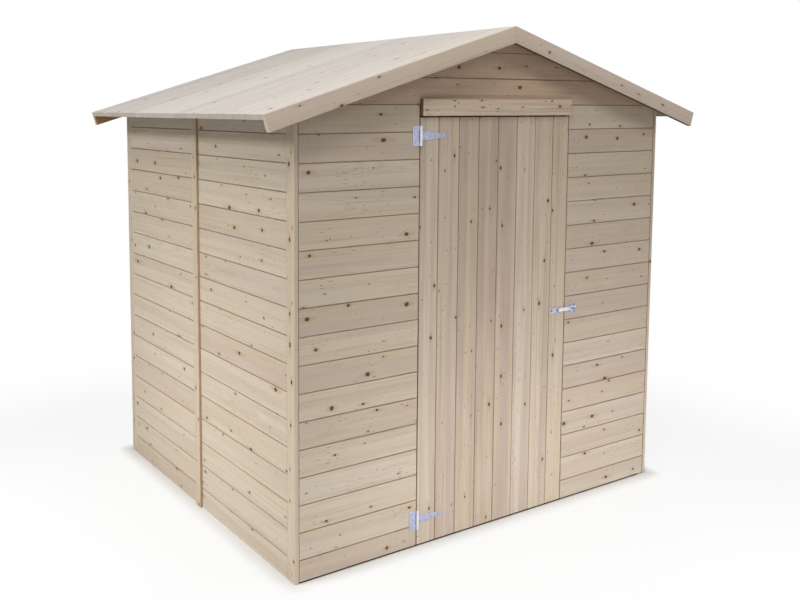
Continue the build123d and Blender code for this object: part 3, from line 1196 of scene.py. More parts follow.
@dataclass(frozen=True)
class Roof:
    """Boards from the ridge to the eaves, with a barge board on each of their four ends."""

    roofline: Roofline
    finishes: Finishes
    section: BoardSection = BoardSection(
        thickness=0.018, vee=0.0003, joint=0.0004, tongue_near=0.0066, tongue_far=0.0110
    )
    least_cover: float = 0.02
    eaves_play: float = 0.0012
    ridge_gap: float = 0.0003
    barge_arris: float = 0.0016
    barge_lift: float = -0.5
    # Roof boards' undersides: painted shade (level over 1). Barge boards: inner face painted orange as warm
    # bounce light, underside painted shade.
    under_painted_shade: float = 1.8
    eaves_raw: float = 0.3
    barge_bounce_and_shade: Pair = (0.9, 1.9)
    rng: Random = seeded(23)

    def axes(self, side: float) -> Axes:
        """Axes on a slope: down it from the ridge, along the ridge, and out of the roof.

        Args:
            side: -1 on the left and 1 on the right.

        Returns:
            The axes.
        """
        cosine, sine = math.cos(self.roofline.angle), math.sin(self.roofline.angle)
        ridge = ranges("roof_left")[2][1]
        return Axes((0.0, 0.0, ridge), (side * cosine, 0.0, -sine), BACK, (side * sine, 0.0, cosine))

    def mitre(self, across: Array, out: Array) -> Array:
        """The cut of a board's upper end at the ridge, which leans with the roof."""
        return -out * math.tan(self.roofline.angle) + self.ridge_gap

    def cuts(self) -> tuple[Place, Place]:
        """The cuts of the next roof board, whose foot is sawn by hand."""
        return self.mitre, level(self.length - self.rng.uniform(0, self.eaves_play))

    @property
    def length(self) -> float:
        """Length of the slope, from the ridge to the square-cut eaves."""
        return -ranges("roof_left")[0][0] / math.cos(self.roofline.angle)

    def build(self) -> None:
        """Lay both slopes and fix the barge boards."""
        for side, direction in (("left", -1.0), ("right", 1.0)):
            node = f"roof_{side}"
            slope = self.axes(direction)
            under = -np.array(slope.out)
            low, high = ranges(node)[1]
            edges = [*np.arange(low, high - self.least_cover, self.section.cover).tolist(), high]
            boards = row(list(zip(edges, edges[1:])), self.cuts)
            form = Boarding(self.section, slope, boards).form(self.rng)
            # The underside gets painted shade; the eaves' end grain is plainly raw-sawn.
            raw = ((under, self.under_painted_shade), (slope.along, self.eaves_raw))
            form.piece(node, Kind.BOARDS, self.finishes.roof, raw=raw)
            for end, inward in (("front", BACK), ("back", FRONT)):
                node = f"barge_board_{end}_{side}"
                low, high = ranges(node)[1]
                corners = (low, -self.barge_depth(node)), (high, 0.0)
                barge = Timber(slope, *corners, self.mitre, level(self.length), self.barge_arris)
                form = Form(self.rng).add(barge.shell(), self.barge_lift)
                # The barge's inner face gets painted warm bounce light, its underside painted shade.
                raw = tuple(zip((inward, under), self.barge_bounce_and_shade))
                form.piece(node, Kind.TIMBER, self.finishes.barge, raw=raw)

    def barge_depth(self, node: str) -> float:
        """Depth of a barge board square to the slope, from its box and the roof's slope.

        The box's height is the slope's fall over the span plus the depth times the slope's
        cosine.

        Args:
            node: The barge board's node.

        Returns:
            The depth.
        """
        x, _, z = ranges(node)
        return (z[1] - z[0] - (x[1] - x[0]) * self.roofline.rise) / math.cos(self.roofline.angle)


@dataclass(frozen=True)
class Trim:
    """Corner boards, cover battens and the door's header."""

    roofline: Roofline
    finishes: Finishes
    board_arris: float = 0.0014
    header_arris: float = 0.0018
    header_tone: float = 0.2
    # The header's left end is raw-sawn, with painted shade laid over it.
    header_end_sawn_and_shade: float = 1.6
    # The corner boards' inner flanks are raw-sawn and dark: painted shade in the joint beside the end boards.
    corner_flank_sawn_and_shade: float = 1.0
    batten_raw: float = 0.5
    batten_slim: float = 0.004
    # The lath is a thin dark strip of painted shade under the front boards.
    batten_spare: float = 0.0055
    lath_short: float = 0.028
    lath_back: float = 0.0004
    lath_low: float = 0.0001
    lath_high: float = 0.001
    lath_arris: float = 0.0002
    rng: Random = seeded(37)

    def build(self) -> None:
        """Fix every trim board."""
        for end in ("front", "back"):
            for side, inward in (("left", RIGHT), ("right", LEFT)):
                # Inner flank raw-sawn and dark, as painted shade in the joint.
                self.upright(f"corner_board_{end}_{side}", ((inward, self.corner_flank_sawn_and_shade),))
        slim, spare, raw = self.batten_slim, self.batten_spare, self.batten_raw
        sawn = ((BACK, raw), (FRONT, raw))
        self.upright("left_wall_batten", sawn, (slim, 0.0, 0.0), (0.0, spare, 0.0))
        self.upright("right_wall_batten", sawn, ORIGIN, (-slim, spare, 0.0))
        sawn = ((RIGHT, raw), (LEFT, raw))
        self.upright("back_wall_batten", sawn, (-spare / 2, 0.0, 0.0), (spare / 2, -slim, 0.0))
        header = Timber.in_box(*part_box("door_header"), Run.X, arris=self.header_arris)
        form = Form(self.rng).add(header.shell(), held=self.header_tone)
        # Left end: raw-sawn end grain, darkened further by painted shade.
        form.piece("door_header", Kind.BOARD, self.finishes.header, raw=((LEFT, self.header_end_sawn_and_shade),))
        self.foot_shade_lath()

    def foot_shade_lath(self) -> None:
        """Lay a thin near-black lath on the ground under the front boards, short of the right corner: painted
        shade for the shadow in the gap under the boards.
        """
        (left, _), (front, back), _ = ranges("front_wall_left")
        right = ranges("front_wall_right")[0][1]
        start = (left, front + self.lath_back, self.lath_low)
        end = (right - self.lath_short, back, self.lath_high)
        lath = Timber.in_box(start, end, Run.X, arris=self.lath_arris)
        Form(self.rng).add(lath.shell()).piece("front_foot_shade", Kind.LATH, self.finishes.lath, stands=False)

    def upright(self, node: str, raw: Raw, low_shift: Triple = ORIGIN, high_shift: Triple = ORIGIN) -> None:
        """Fix one upright board, cut to the roof's slope.

        Args:
            node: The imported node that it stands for.
            raw: Ways that its raw-sawn faces look.
            low_shift: How far its low corner lies from its packed box's.
            high_shift: How far its high corner lies from its packed box's.
        """
        low, high = (np.add(corner, shift) for corner, shift in zip(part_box(node), (low_shift, high_shift)))
        board = Timber.in_box(low, high, Run.Z, end=self.roofline.cut, arris=self.board_arris)
        Form(self.rng).add(board.shell()).piece(node, Kind.TIMBER, self.finishes.trim, raw=raw)


@dataclass(frozen=True)
class Framework:
    """Posts, sills, studs, rails, purlins and the ridge beam inside the walls."""

    roofline: Roofline
    finishes: Finishes
    thickness: float = 0.028
    width: float = 0.045
    arris: float = 0.002
    rng: Random = seeded(53)

    def fix(self, node: str, shells: Sequence[Shell]) -> None:
        """Make one piece for a node from its timbers' shells.

        Args:
            node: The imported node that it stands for.
            shells: The timbers' shells.
        """
        form = Form(self.rng)
        for shell in shells:
            form.add(shell)
        form.piece(node, Kind.TIMBER, self.finishes.frame)

    def timber(self, run: Run, x: Pair, y: Pair, z: Pair, end: Place | None = None) -> Shell:
        """The shell of a timber that fills three ranges."""
        low, high = zip(x, y, z)
        return Timber.in_box(low, high, run, end=end, arris=self.arris).shell()

    def build(self) -> None:
        """Set up every timber of the frame."""
        x, y, z = ranges("corner_posts")
        places = [(side, end) for side in ends(x, self.thickness) for end in ends(y, self.width)]
        self.fix("corner_posts", [self.timber(Run.Z, *place, z, self.roofline.cut) for place in places])

        x, y, z = ranges("door_posts")
        self.fix("door_posts", [self.timber(Run.Z, side, y, z) for side in ends(x, self.width)])

        x, y, z = ranges("wall_studs")
        half = self.width / 2
        middle = sum(ranges("left_wall_batten")[1]) / 2
        places = [(side, (middle - half, middle + half)) for side in ends(x, self.thickness)]
        places.append(((-half, half), ends(y, self.thickness)[1]))
        self.fix("wall_studs", [self.timber(Run.Z, *place, z) for place in places])

        x, y, z = ranges("side_sills")
        self.fix("side_sills", [self.timber(Run.Y, side, y, z) for side in ends(x, self.thickness)])

        x, y, z = ranges("front_sills")
        door = ranges("door_threshold")[0]
        spans = ((x[0], door[0]), (door[1], x[1]))
        self.fix("front_sills", [self.timber(Run.X, span, y, z) for span in spans])
        for node in ("door_threshold", "back_sill", "front_top_rail", "back_top_rail"):
            self.fix(node, [self.timber(Run.X, *ranges(node))])

        for node, width in (("side_top_rails", self.thickness), ("roof_purlins", self.width)):
            self.fix(node, self.sloped(node, width))
        self.fix("ridge_beam", [self.ridge()])

    def level_beam(self, outline: Array, y: Pair) -> Shell:
        """Carry an outline in (up, right) from front to back."""
        return carried(outline[None], np.array(y)[:, None], Axes(ORIGIN, *Run.Y.value))

    def sloped(self, node: str, width: float) -> list[Shell]:
        """Make a pair of timbers whose tops are planed to the roof's slope.

        The section is a rectangle whose upper edge follows the underside of the roof, so its
        outline is stretched upwards: out = foot + share * (roof's underside - foot).

        Args:
            node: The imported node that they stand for.
            width: Width of each.

        Returns:
            Their shells.
        """
        x, y, (foot, top) = ranges(node)
        shells = []
        for near, far in ends(x, width):
            outline = soft_rectangle((foot, near), (top, far), self.arris)
            share = (outline[:, 0] - foot) / (top - foot)
            outline[:, 0] = foot + share * (self.roofline.cut(outline[:, 1]) - foot)
            shells.append(self.level_beam(outline, y))
        return shells

    def ridge(self) -> Shell:
        """Make the ridge beam, whose top is planed to both slopes.

        Returns:
            The beam's shell.
        """
        (left, right), y, (foot, _) = ranges("ridge_beam")
        side = float(self.roofline.cut(right))
        ease = self.arris
        outline = [(side, left), (self.roofline.cut(0.0), 0.0), (side, right), (foot + ease, right)]
        outline += [(foot, right - ease), (foot, left + ease), (foot + ease, left)]
        return self.level_beam(np.array(outline), y)


@dataclass(frozen=True)
class Door:
    """Upright boards on two ledges and a brace."""

    finishes: Finishes
    section: BoardSection = BoardSection()
    first_board: float = 0.0835
    least_cover: float = 0.02
    end_play: float = 0.0006
    brace_foot: float = 0.09
    arris: float = 0.002
    edge_raw: Raw = ((RIGHT, 0.45), (LEFT, 0.45))
    rng: Random = seeded(71)

    def cuts(self) -> tuple[Place, Place]:
        """The cuts of the leaf's next board, each a hair short.

        Returns:
            The cuts of its foot and its head.
        """
        low, high = ranges("door_leaf")[2]
        foot = low + self.rng.uniform(0, self.end_play)
        return level(foot), level(high - self.rng.uniform(0, self.end_play))

    def build(self) -> None:
        """Make the leaf, its ledges and its brace."""
        x, y, _ = ranges("door_leaf")
        axes = Axes((0.0, y[0], 0.0), UP, RIGHT, FRONT)
        joints = np.arange(x[0] + self.first_board, x[1] - self.least_cover, self.section.cover).tolist()
        edges = [x[0], *joints, x[1]]
        boards = row(list(zip(edges, edges[1:])), self.cuts)
        form = Boarding(self.section, axes, boards).form(self.rng)
        form.piece("door_leaf", Kind.BOARDS, self.finishes.door, Body.DOOR, self.edge_raw)

        x, y, z = ranges("door_ledges")
        brace = ranges("door_brace")[2]
        form = Form(self.rng)
        for foot, top in ((z[0], brace[0]), (brace[1], z[1])):
            ledge = Timber.in_box((x[0], y[0], foot), (x[1], y[1], top), Run.X, arris=self.arris)
            form.add(ledge.shell())
        form.piece("door_ledges", Kind.TIMBER, self.finishes.door, Body.DOOR)
        form = Form(self.rng).add(self.brace().shell())
        form.piece("door_brace", Kind.TIMBER, self.finishes.door, Body.DOOR)

    def brace(self) -> Timber:
        """The brace, a board on the slant whose ends are cut level.

        The board runs from its foot's middle to its top's middle. A level cut on a board
        that leans by an angle a moves along by across / tan(a).

        Returns:
            The board.
        """
        x, y, z = ranges("door_brace")
        foot = np.array([x[0] + self.brace_foot / 2, y[1], z[0]])
        top = np.array([x[1] - self.brace_foot / 2, y[1], z[1]])
        length = float(np.linalg.norm(top - foot))
        along = (top - foot) / length
        width = self.brace_foot * along[2]
        slant = along[0] / along[2]
        return Timber(
            Axes(foot, along, np.array([along[2], 0.0, -along[0]]), BACK),
            (-width / 2, y[0] - y[1]),
            (width / 2, 0.0),
            lambda across, out: across * slant,
            lambda across, out: length + across * slant,
            self.arris,
        )


# ---------------------------------------------------------------- hardware
@dataclass(frozen=True)
class Screw:
    """A pan-head screw with a cross recess."""

    radius: float = 0.0036
    height: float = 0.0014
    rim: float = 0.25
    seat: float = 0.3
    rings: tuple[float, ...] = (1.0, 1.0, 0.94, 0.8, 0.62, 0.5, 0.36, 0.2, 0.06)
    recess: float = 0.66
    recess_slope: float = 0.12
    arm_start: float = 0.05
    arm_slope: float = 0.5
    around: int = 24

    def shell(self, centre: Sequence[float], out: Sequence[float], turn: float) -> Shell:
        """Make the head from rings of falling radius.

        Height over the seat = height * (rim + (1 - rim) * (1 - (r / radius)^2)^0.5), less the
        recess's depth where cos(4 * angle) is near 1 and r is under two thirds of the radius.

        Args:
            centre: Middle of the head's seat.
            out: The way that the head faces.
            turn: How far the recess is turned.

        Returns:
            Points, faces and each point's (along, across, out).
        """
        share = np.array(self.rings)
        rise = self.height * (self.rim + (1 - self.rim) * np.sqrt(np.maximum(0.0, 1 - share**2)))
        rise[0] = -self.height * self.seat
        angles = np.linspace(0, 2 * math.pi, self.around, endpoint=False)
        arm = np.clip((np.cos(4 * (angles - turn)) + self.arm_start) / self.arm_slope, 0, 1)
        inner = np.clip((self.recess - share) / self.recess_slope, 0, 1)[:, None]
        places = rise[:, None] - self.height * (1 - self.rim) * arm * inner
        rings = share[:, None, None] * circle(self.radius, self.around)
        return carried(rings, places, Axes(centre, out, UP, np.cross(out, UP)))


class SheenAndDark(Enum):
    """How bright each part's zinc is: 0 is a painted highlight, 0.5 is as plated and 1 is darkened."""

    # Under 0.5 the hasp's strap, its root and the hinge knuckles are painted brighter, a painted highlight;
    # over 0.5 parts are darkened.
    HASP_STRAP = 0.0
    HINGE_KNUCKLE = 0.15
    HASP_ROOT = 0.2
    PLATED = 0.5
    HASP_PLATE = 0.55
    HINGE_STRAP = 0.6
    STAPLE_PLATE = 0.62
    SCREW = 0.66
    STAPLE_WIRE = 0.7
    STAPLE_SCREW = 0.85
    HASP_SCREW = 0.98


@dataclass(frozen=True)
class Knuckle:
    """Radii of a rolled knuckle and its pin, and how bright its plate and the knuckle are painted."""

    radius: float
    pin: float
    plate_sheen_and_dark: SheenAndDark
    sheen_and_dark: SheenAndDark


@dataclass(frozen=True)
class Hardware:
    """Tee hinges, hasp and staple in zinc-plated steel."""

    finishes: Finishes
    metal: float = 0.0025
    ease: float = 0.0006
    ease_steps: int = 4
    # The hinge knuckle's bright level is a painted highlight.
    hinge_knuckle: Knuckle = Knuckle(0.005, 0.0025, SheenAndDark.PLATED, SheenAndDark.HINGE_KNUCKLE)
    hasp_knuckle: Knuckle = Knuckle(0.0035, 0.0015, SheenAndDark.HASP_PLATE, SheenAndDark.PLATED)
    knuckle_ease: float = 0.0005
    knuckle_faces: int = 32
    pin_faces: int = 20
    pin_dome: float = 0.35
    pin_angles: tuple[float, ...] = (0.35, 0.8, 1.2, math.pi / 2)
    end_play: float = 0.0005
    pin_play: float = 0.00005
    pin_press: float = 0.0002
    leaf_round: float = 0.0035
    leaf_steps: int = 5
    strap_tip: float = 0.008
    strap_tip_round: float = 0.0035
    strap_tip_steps: int = 7
    plate_screw: Pair = (0.0095, 0.0105)
    root_screw: Pair = (0.016, 0.0095)
    strap_screws: Triple = (0.5, 0.76, 0.91)
    hasp_screws: Pair = (0.0065, 0.0115)
    hasp_root: float = 0.0001
    hasp_ease: float = 0.7
    hasp_round: float = 0.004
    hasp_flank: float = 0.0036
    round_steps: int = 6
    hasp_edge: float = 0.001
    staple_wire: float = 0.0045
    staple_spread: float = 0.018
    staple_faces: int = 14
    leg_steps: int = 3
    bend_steps: int = 25
    staple_round: float = 0.005
    staple_inset: float = 0.0075
    slot_near: float = 0.00225
    slot_far: float = 0.00425
    slot_side: float = 0.00175
    front: Axes = Axes(ORIGIN, FRONT, RIGHT, UP)
    upright: Axes = Axes(ORIGIN, *Run.Z.value)
    screw: Screw = Screw()
    rng: Random = seeded(97)

    def pressed(self, outline: Callable[[float], Array], back: float, face: float) -> Shell:
        """A pressed plate that faces the front, the arris of its face eased.

        The outline in (x, z) is carried out of the wall, and over the last stations it draws
        in by a quarter circle: inset = ease * (1 - cos(a)), depth = face - ease * (1 - sin(a)).

        Args:
            outline: Gives the outline for an inset.
            back: Place of the back, as y.
            face: Place of the face, as y.

        Returns:
            Points, faces and each point's (along, across, out).
        """
        angles = np.linspace(0, math.pi / 2, self.ease_steps)
        insets = np.concatenate([[0.0], self.ease * (1 - np.cos(angles))])
        depths = np.concatenate([[-back], -face - self.ease * (1 - np.sin(angles))])
        return carried(np.stack([outline(inset) for inset in insets]), depths[:, None], self.front)

    def barrel(self, centre: Pair, low: float, high: float, radius: float, bore: float) -> Shell:
        """A rolled knuckle: a tube round a pin, its outer ends eased.

        The tube's section, a rectangle with two cut corners, is carried round as a closed
        ring of circles.

        Args:
            centre: The pin's (x, y).
            low: Lower end.
            high: Upper end.
            radius: Outer radius.
            bore: Inner radius.

        Returns:
            Points, faces and each point's (along, across, out).
        """
        ease = min(self.knuckle_ease, (high - low) / 4)
        radii = (radius - ease, radius, radius, radius - ease, bore, bore)
        heights = np.array([low, low + ease, high - ease, high, high, low])
        rings = np.stack([circle(r, self.knuckle_faces, centre) for r in radii])
        return carried(rings, heights[:, None], self.upright, ring=True)

    def pin_rod(self, centre: Pair, low: float, high: float, radius: float) -> Shell:
        """A pin through its knuckles, with domed ends: radius * sin(a) at a height of cos(a).

        Args:
            centre: The pin's (x, y).
            low: Lower end of its straight part.
            high: Upper end of its straight part.
            radius: Its radius.

        Returns:
            The pin's shell.
        """
        angles = np.array(self.pin_angles)
        dome = np.sin(angles) * radius
        lift = np.cos(angles) * radius * self.pin_dome
        heights = np.concatenate([low - lift, (high + lift)[::-1]])
        rings = np.stack([circle(r, self.pin_faces, centre) for r in (*dome, *dome[::-1])])
        return carried(rings, heights[:, None], self.upright)

    def drive(self, form: Form, spots: Sequence[Pair], y: float, sheen_and_dark: SheenAndDark = SheenAndDark.SCREW) -> None:
        """Drive screws that face the front.

        Args:
            form: Takes the heads.
            spots: Their (x, z).
            y: The face that they seat on.
            sheen_and_dark: How dark their heads are.
        """
        for x, z in spots:
            head = self.screw.shell((x, y, z), FRONT, self.rng.uniform(0, math.pi / 2))
            form.add(head, held=sheen_and_dark.value)

    def leaf_outline(self, low: Array, high: Array, notch: Pair, depth: float) -> Callable[[float], Array]:
        """Outline of a fixed leaf, with round corners away from the pin and a notch beside it.

        Args:
            low: Lower far corner, as (x, z).
            high: Upper corner at the pin, as (x, z).
            notch: The notch's lower and upper edge.
            depth: How deep the notch is.

        Returns:
            A function from an inset to the outline.
        """
        corner = self.leaf_steps + 1
        whole = inset_rectangle(low, high, self.leaf_round, self.leaf_steps)

        def outline(inset: float) -> Array:
            """The outline drawn in by an inset.

            Args:
                inset: How far it is drawn in, in metres.

            Returns:
                The outline's points.
            """
            soft = whole(inset)
            bottom, (edge, top) = low[1] + inset, high - inset
            cut = edge - depth
            foot, head = notch[0] - inset, notch[1] + inset
            side = [(edge, bottom), (edge, foot), (cut, foot), (cut, head), (edge, head), (edge, top)]
            return np.concatenate([soft[corner : 3 * corner], np.array(side)])

        return outline

    def fixed_leaf(self, node: str, axis: Pair, notch: Pair, knuckle: Knuckle) -> Form:
        """Make a plate with its two knuckles and the pin that they hold.

        Args:
            node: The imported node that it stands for.
            axis: The pin's (x, y).
            notch: Lower and upper edge of the room that it leaves for the strap.
            knuckle: Its knuckles.

        Returns:
            The form, still without screws.
        """
        x, y, z = ranges(node)
        low, high = np.array([x[0], z[0]]), np.array([axis[0], z[1]])
        leaf = self.leaf_outline(low, high, notch, knuckle.radius + self.end_play)
        form = Form(self.rng).add(self.pressed(leaf, y[1], y[1] - self.metal), held=knuckle.plate_sheen_and_dark.value)
        for foot, top in ((z[0], notch[0]), (notch[1], z[1])):
            shell = self.barrel(axis, foot, top, knuckle.radius, knuckle.pin - self.pin_press)
            form.add(shell, held=knuckle.sheen_and_dark.value)
        pin = self.pin_rod(axis, z[0] - self.pin_press, z[1] + self.pin_press, knuckle.pin)
        return form.add(pin, held=SheenAndDark.PLATED.value)

    def hinge(self, which: str) -> None:
        """Make one tee hinge: its plate on the wall and its strap on the door.

        Args:
            which: "upper" or "lower".
        """
        plate, strap = f"{which}_hinge_plate", f"{which}_hinge_strap"
        knuckle, play = self.hinge_knuckle, self.end_play
        x, y, z = ranges(plate)
        (_, strap_end), _, (foot, top) = ranges(strap)
        axis = (x[1] - knuckle.radius, y[0] + knuckle.radius)
        wall, face = y[1], y[1] - self.metal
        form = self.fixed_leaf(plate, axis, (foot - play, top + play), knuckle)
        across, up = x[0] + self.plate_screw[0], self.plate_screw[1]
        spots = [(across, z[0] + up), (across, z[1] - up), (across + self.plate_screw[0], sum(z) / 2)]
        self.drive(form, spots, face)
        form.piece(plate, Kind.METAL, self.finishes.zinc)

        root, middle = (top - foot) / 2, (top + foot) / 2
        tip, radius = self.strap_tip / 2, self.strap_tip_round

        def outline(inset: float) -> Array:
            """The tapered strap drawn in by an inset, its tip's corners round.

            Args:
                inset: How far it is drawn in, in metres.

            Returns:
                The outline's points.
            """
            quarter = np.linspace(-math.pi / 2, 0, self.strap_tip_steps)
            arc = (radius - inset) * np.stack([np.cos(quarter), np.sin(quarter)], -1)
            lower = arc + (strap_end - radius, middle - tip + radius)
            upper = arc[::-1] * (1, -1) + (strap_end - radius, middle + tip - radius)
            start = np.array([(axis[0], middle - root + inset)])
            end = np.array([(axis[0], middle + root - inset)])
            return np.concatenate([start, lower, upper, end])

        form = Form(self.rng).add(self.pressed(outline, wall, face), held=SheenAndDark.HINGE_STRAP.value)
        barrel = self.barrel(axis, foot, top, knuckle.radius, knuckle.pin + self.pin_play)
        form.add(barrel, held=knuckle.sheen_and_dark.value)
        across, up = axis[0] + self.root_screw[0], self.root_screw[1]
        spots = [(across, middle + up), (across, middle - up)]
        spots += [(axis[0] + (strap_end - axis[0]) * share, middle) for share in self.strap_screws]
        self.drive(form, spots, face)
        form.piece(strap, Kind.METAL, self.finishes.zinc, Body.DOOR)

    def hasp(self) -> None:
        """Make the hasp's plate on the door and its slotted strap."""
        knuckle, play = self.hasp_knuckle, self.end_play
        x, y, z = ranges("hasp_plate")
        strap_x, strap_y, (foot, top) = ranges("hasp_strap")
        axis = (strap_x[0] + knuckle.radius, sum(strap_y) / 2)
        form = self.fixed_leaf("hasp_plate", axis, (foot - play, top + play), knuckle)
        middle = (z[0] + z[1]) / 2
        spots = [(x[0] + self.hasp_screws[0], middle), (axis[0] - self.hasp_screws[1], middle)]
        self.drive(form, spots, y[1] - self.metal, SheenAndDark.HASP_SCREW)
        form.piece("hasp_plate", Kind.METAL, self.finishes.zinc, Body.DOOR)

        legs = sum(ranges("hasp_staple")[0]) / 2
        wire, spread = self.staple_wire / 2, self.staple_spread / 2
        slot_low = np.array([legs - spread - wire - self.slot_near, middle - wire - self.slot_side])
        slot_high = np.array([legs + spread + wire + self.slot_far, middle + wire + self.slot_side])
        slot_round = (slot_high[1] - slot_low[1]) / 2 - self.pin_play
        slot = inset_rectangle(slot_low, slot_high, slot_round, self.round_steps)
        bore = knuckle.pin + self.pin_play
        low = np.array([axis[0] + bore + self.hasp_root, foot])
        high = np.array([strap_x[1], top])

        def outer(inset: float, flank: float = 0.0) -> Array:
            """The strap's outline drawn in by an inset, and by a flank above and below."""
            across = np.array([inset, inset + flank])
            return soft_rectangle(low + across, high - across, self.hasp_round - inset, self.round_steps)

        ease = self.ease * self.hasp_ease
        back, face = -axis[1] - self.metal / 2, -axis[1] + self.metal / 2
        outlines = [outer(ease), outer(0.0), outer(0.0), outer(ease, self.hasp_flank)]
        outlines += [slot(-ease), slot(0.0), slot(0.0), slot(-ease)]
        edge = back + self.hasp_edge
        depths = np.array([back, back + ease, edge, face, face, face - ease, back + ease, back])
        bar = carried(np.stack(outlines), depths[:, None], self.front, ring=True)
        # The strap is painted near white: a painted highlight.
        form = Form(self.rng).add(bar, held=SheenAndDark.HASP_STRAP.value)
        form.add(self.barrel(axis, foot, top, knuckle.radius, bore), held=SheenAndDark.HASP_ROOT.value)
        form.piece("hasp_strap", Kind.METAL, self.finishes.zinc, Body.HASP)

    def staple(self) -> None:
        """Make the staple: a square plate and a wire bent to a half circle.

        The wire's line = down one leg, round half a circle and back up the other, and its
        section is a circle square to that line.
        """
        x, y, z = ranges("hasp_staple")
        low, high = np.array([x[0], z[0]]), np.array([x[1], z[1]])
        face = y[1] - self.metal
        outline = inset_rectangle(low, high, self.staple_round, self.round_steps)
        form = Form(self.rng).add(self.pressed(outline, y[1], face), held=SheenAndDark.STAPLE_PLATE.value)
        half, wire = self.staple_spread / 2, self.staple_wire / 2
        bend = y[0] + wire + half
        turns = np.linspace(math.pi, 2 * math.pi, self.bend_steps)
        legs = np.linspace(y[1], bend, self.leg_steps, endpoint=False)
        none = np.zeros(self.leg_steps)
        side_x = np.concatenate([none + 1, -np.cos(turns), none - 1])
        side_y = np.concatenate([none, -np.sin(turns), none])
        line_x = np.concatenate([none - half, half * np.cos(turns), none + half]) + sum(x) / 2
        line_y = np.concatenate([legs, bend + half * np.sin(turns), legs[::-1]])
        ring = circle(wire, self.staple_faces)
        across = line_x[:, None] + side_x[:, None] * ring[None, :, 0]
        inward = line_y[:, None] + side_y[:, None] * ring[None, :, 0]
        up = sum(z) / 2 + np.tile(ring[:, 1], (len(line_x), 1))
        form.add(carried(np.stack([across, up], -1), -inward, self.front), held=SheenAndDark.STAPLE_WIRE.value)
        inset = self.staple_inset
        spots = [(side, end) for side in (x[0] + inset, x[1] - inset) for end in (z[0] + inset, z[1] - inset)]
        self.drive(form, spots, face, SheenAndDark.STAPLE_SCREW)
        form.piece("hasp_staple", Kind.METAL, self.finishes.zinc)

    def build(self) -> None:
        """Fix all the hardware."""
        self.hinge("upper")
        self.hinge("lower")
        self.hasp()
        self.staple()


# ---------------------------------------------------------------- studio
@dataclass(frozen=True)
class Lamp:
    """One soft box lamp, which the camera doesn't see."""

    name: str
    place: Triple
    target: Triple
    width: float
    height: float
    power: float
    colour: Triple = (1.0, 1.0, 1.0)
    spread: float = math.pi

    def build(self) -> None:
        """Hang the lamp and turn it to its target."""
        data = bpy.data.lights.new(self.name, "AREA")
        data.shape = "RECTANGLE"
        data.size, data.size_y = self.width, self.height
        data.energy = self.power
        data.color = self.colour
        data.spread = self.spread
        lamp = bpy.data.objects.new(self.name, data)
        bpy.context.scene.collection.objects.link(lamp)
        lamp.visible_camera = False
        lamp.location = self.place
        way = Vector(self.target) - Vector(self.place)
        lamp.rotation_euler = way.to_track_quat("-Z", "Y").to_euler()


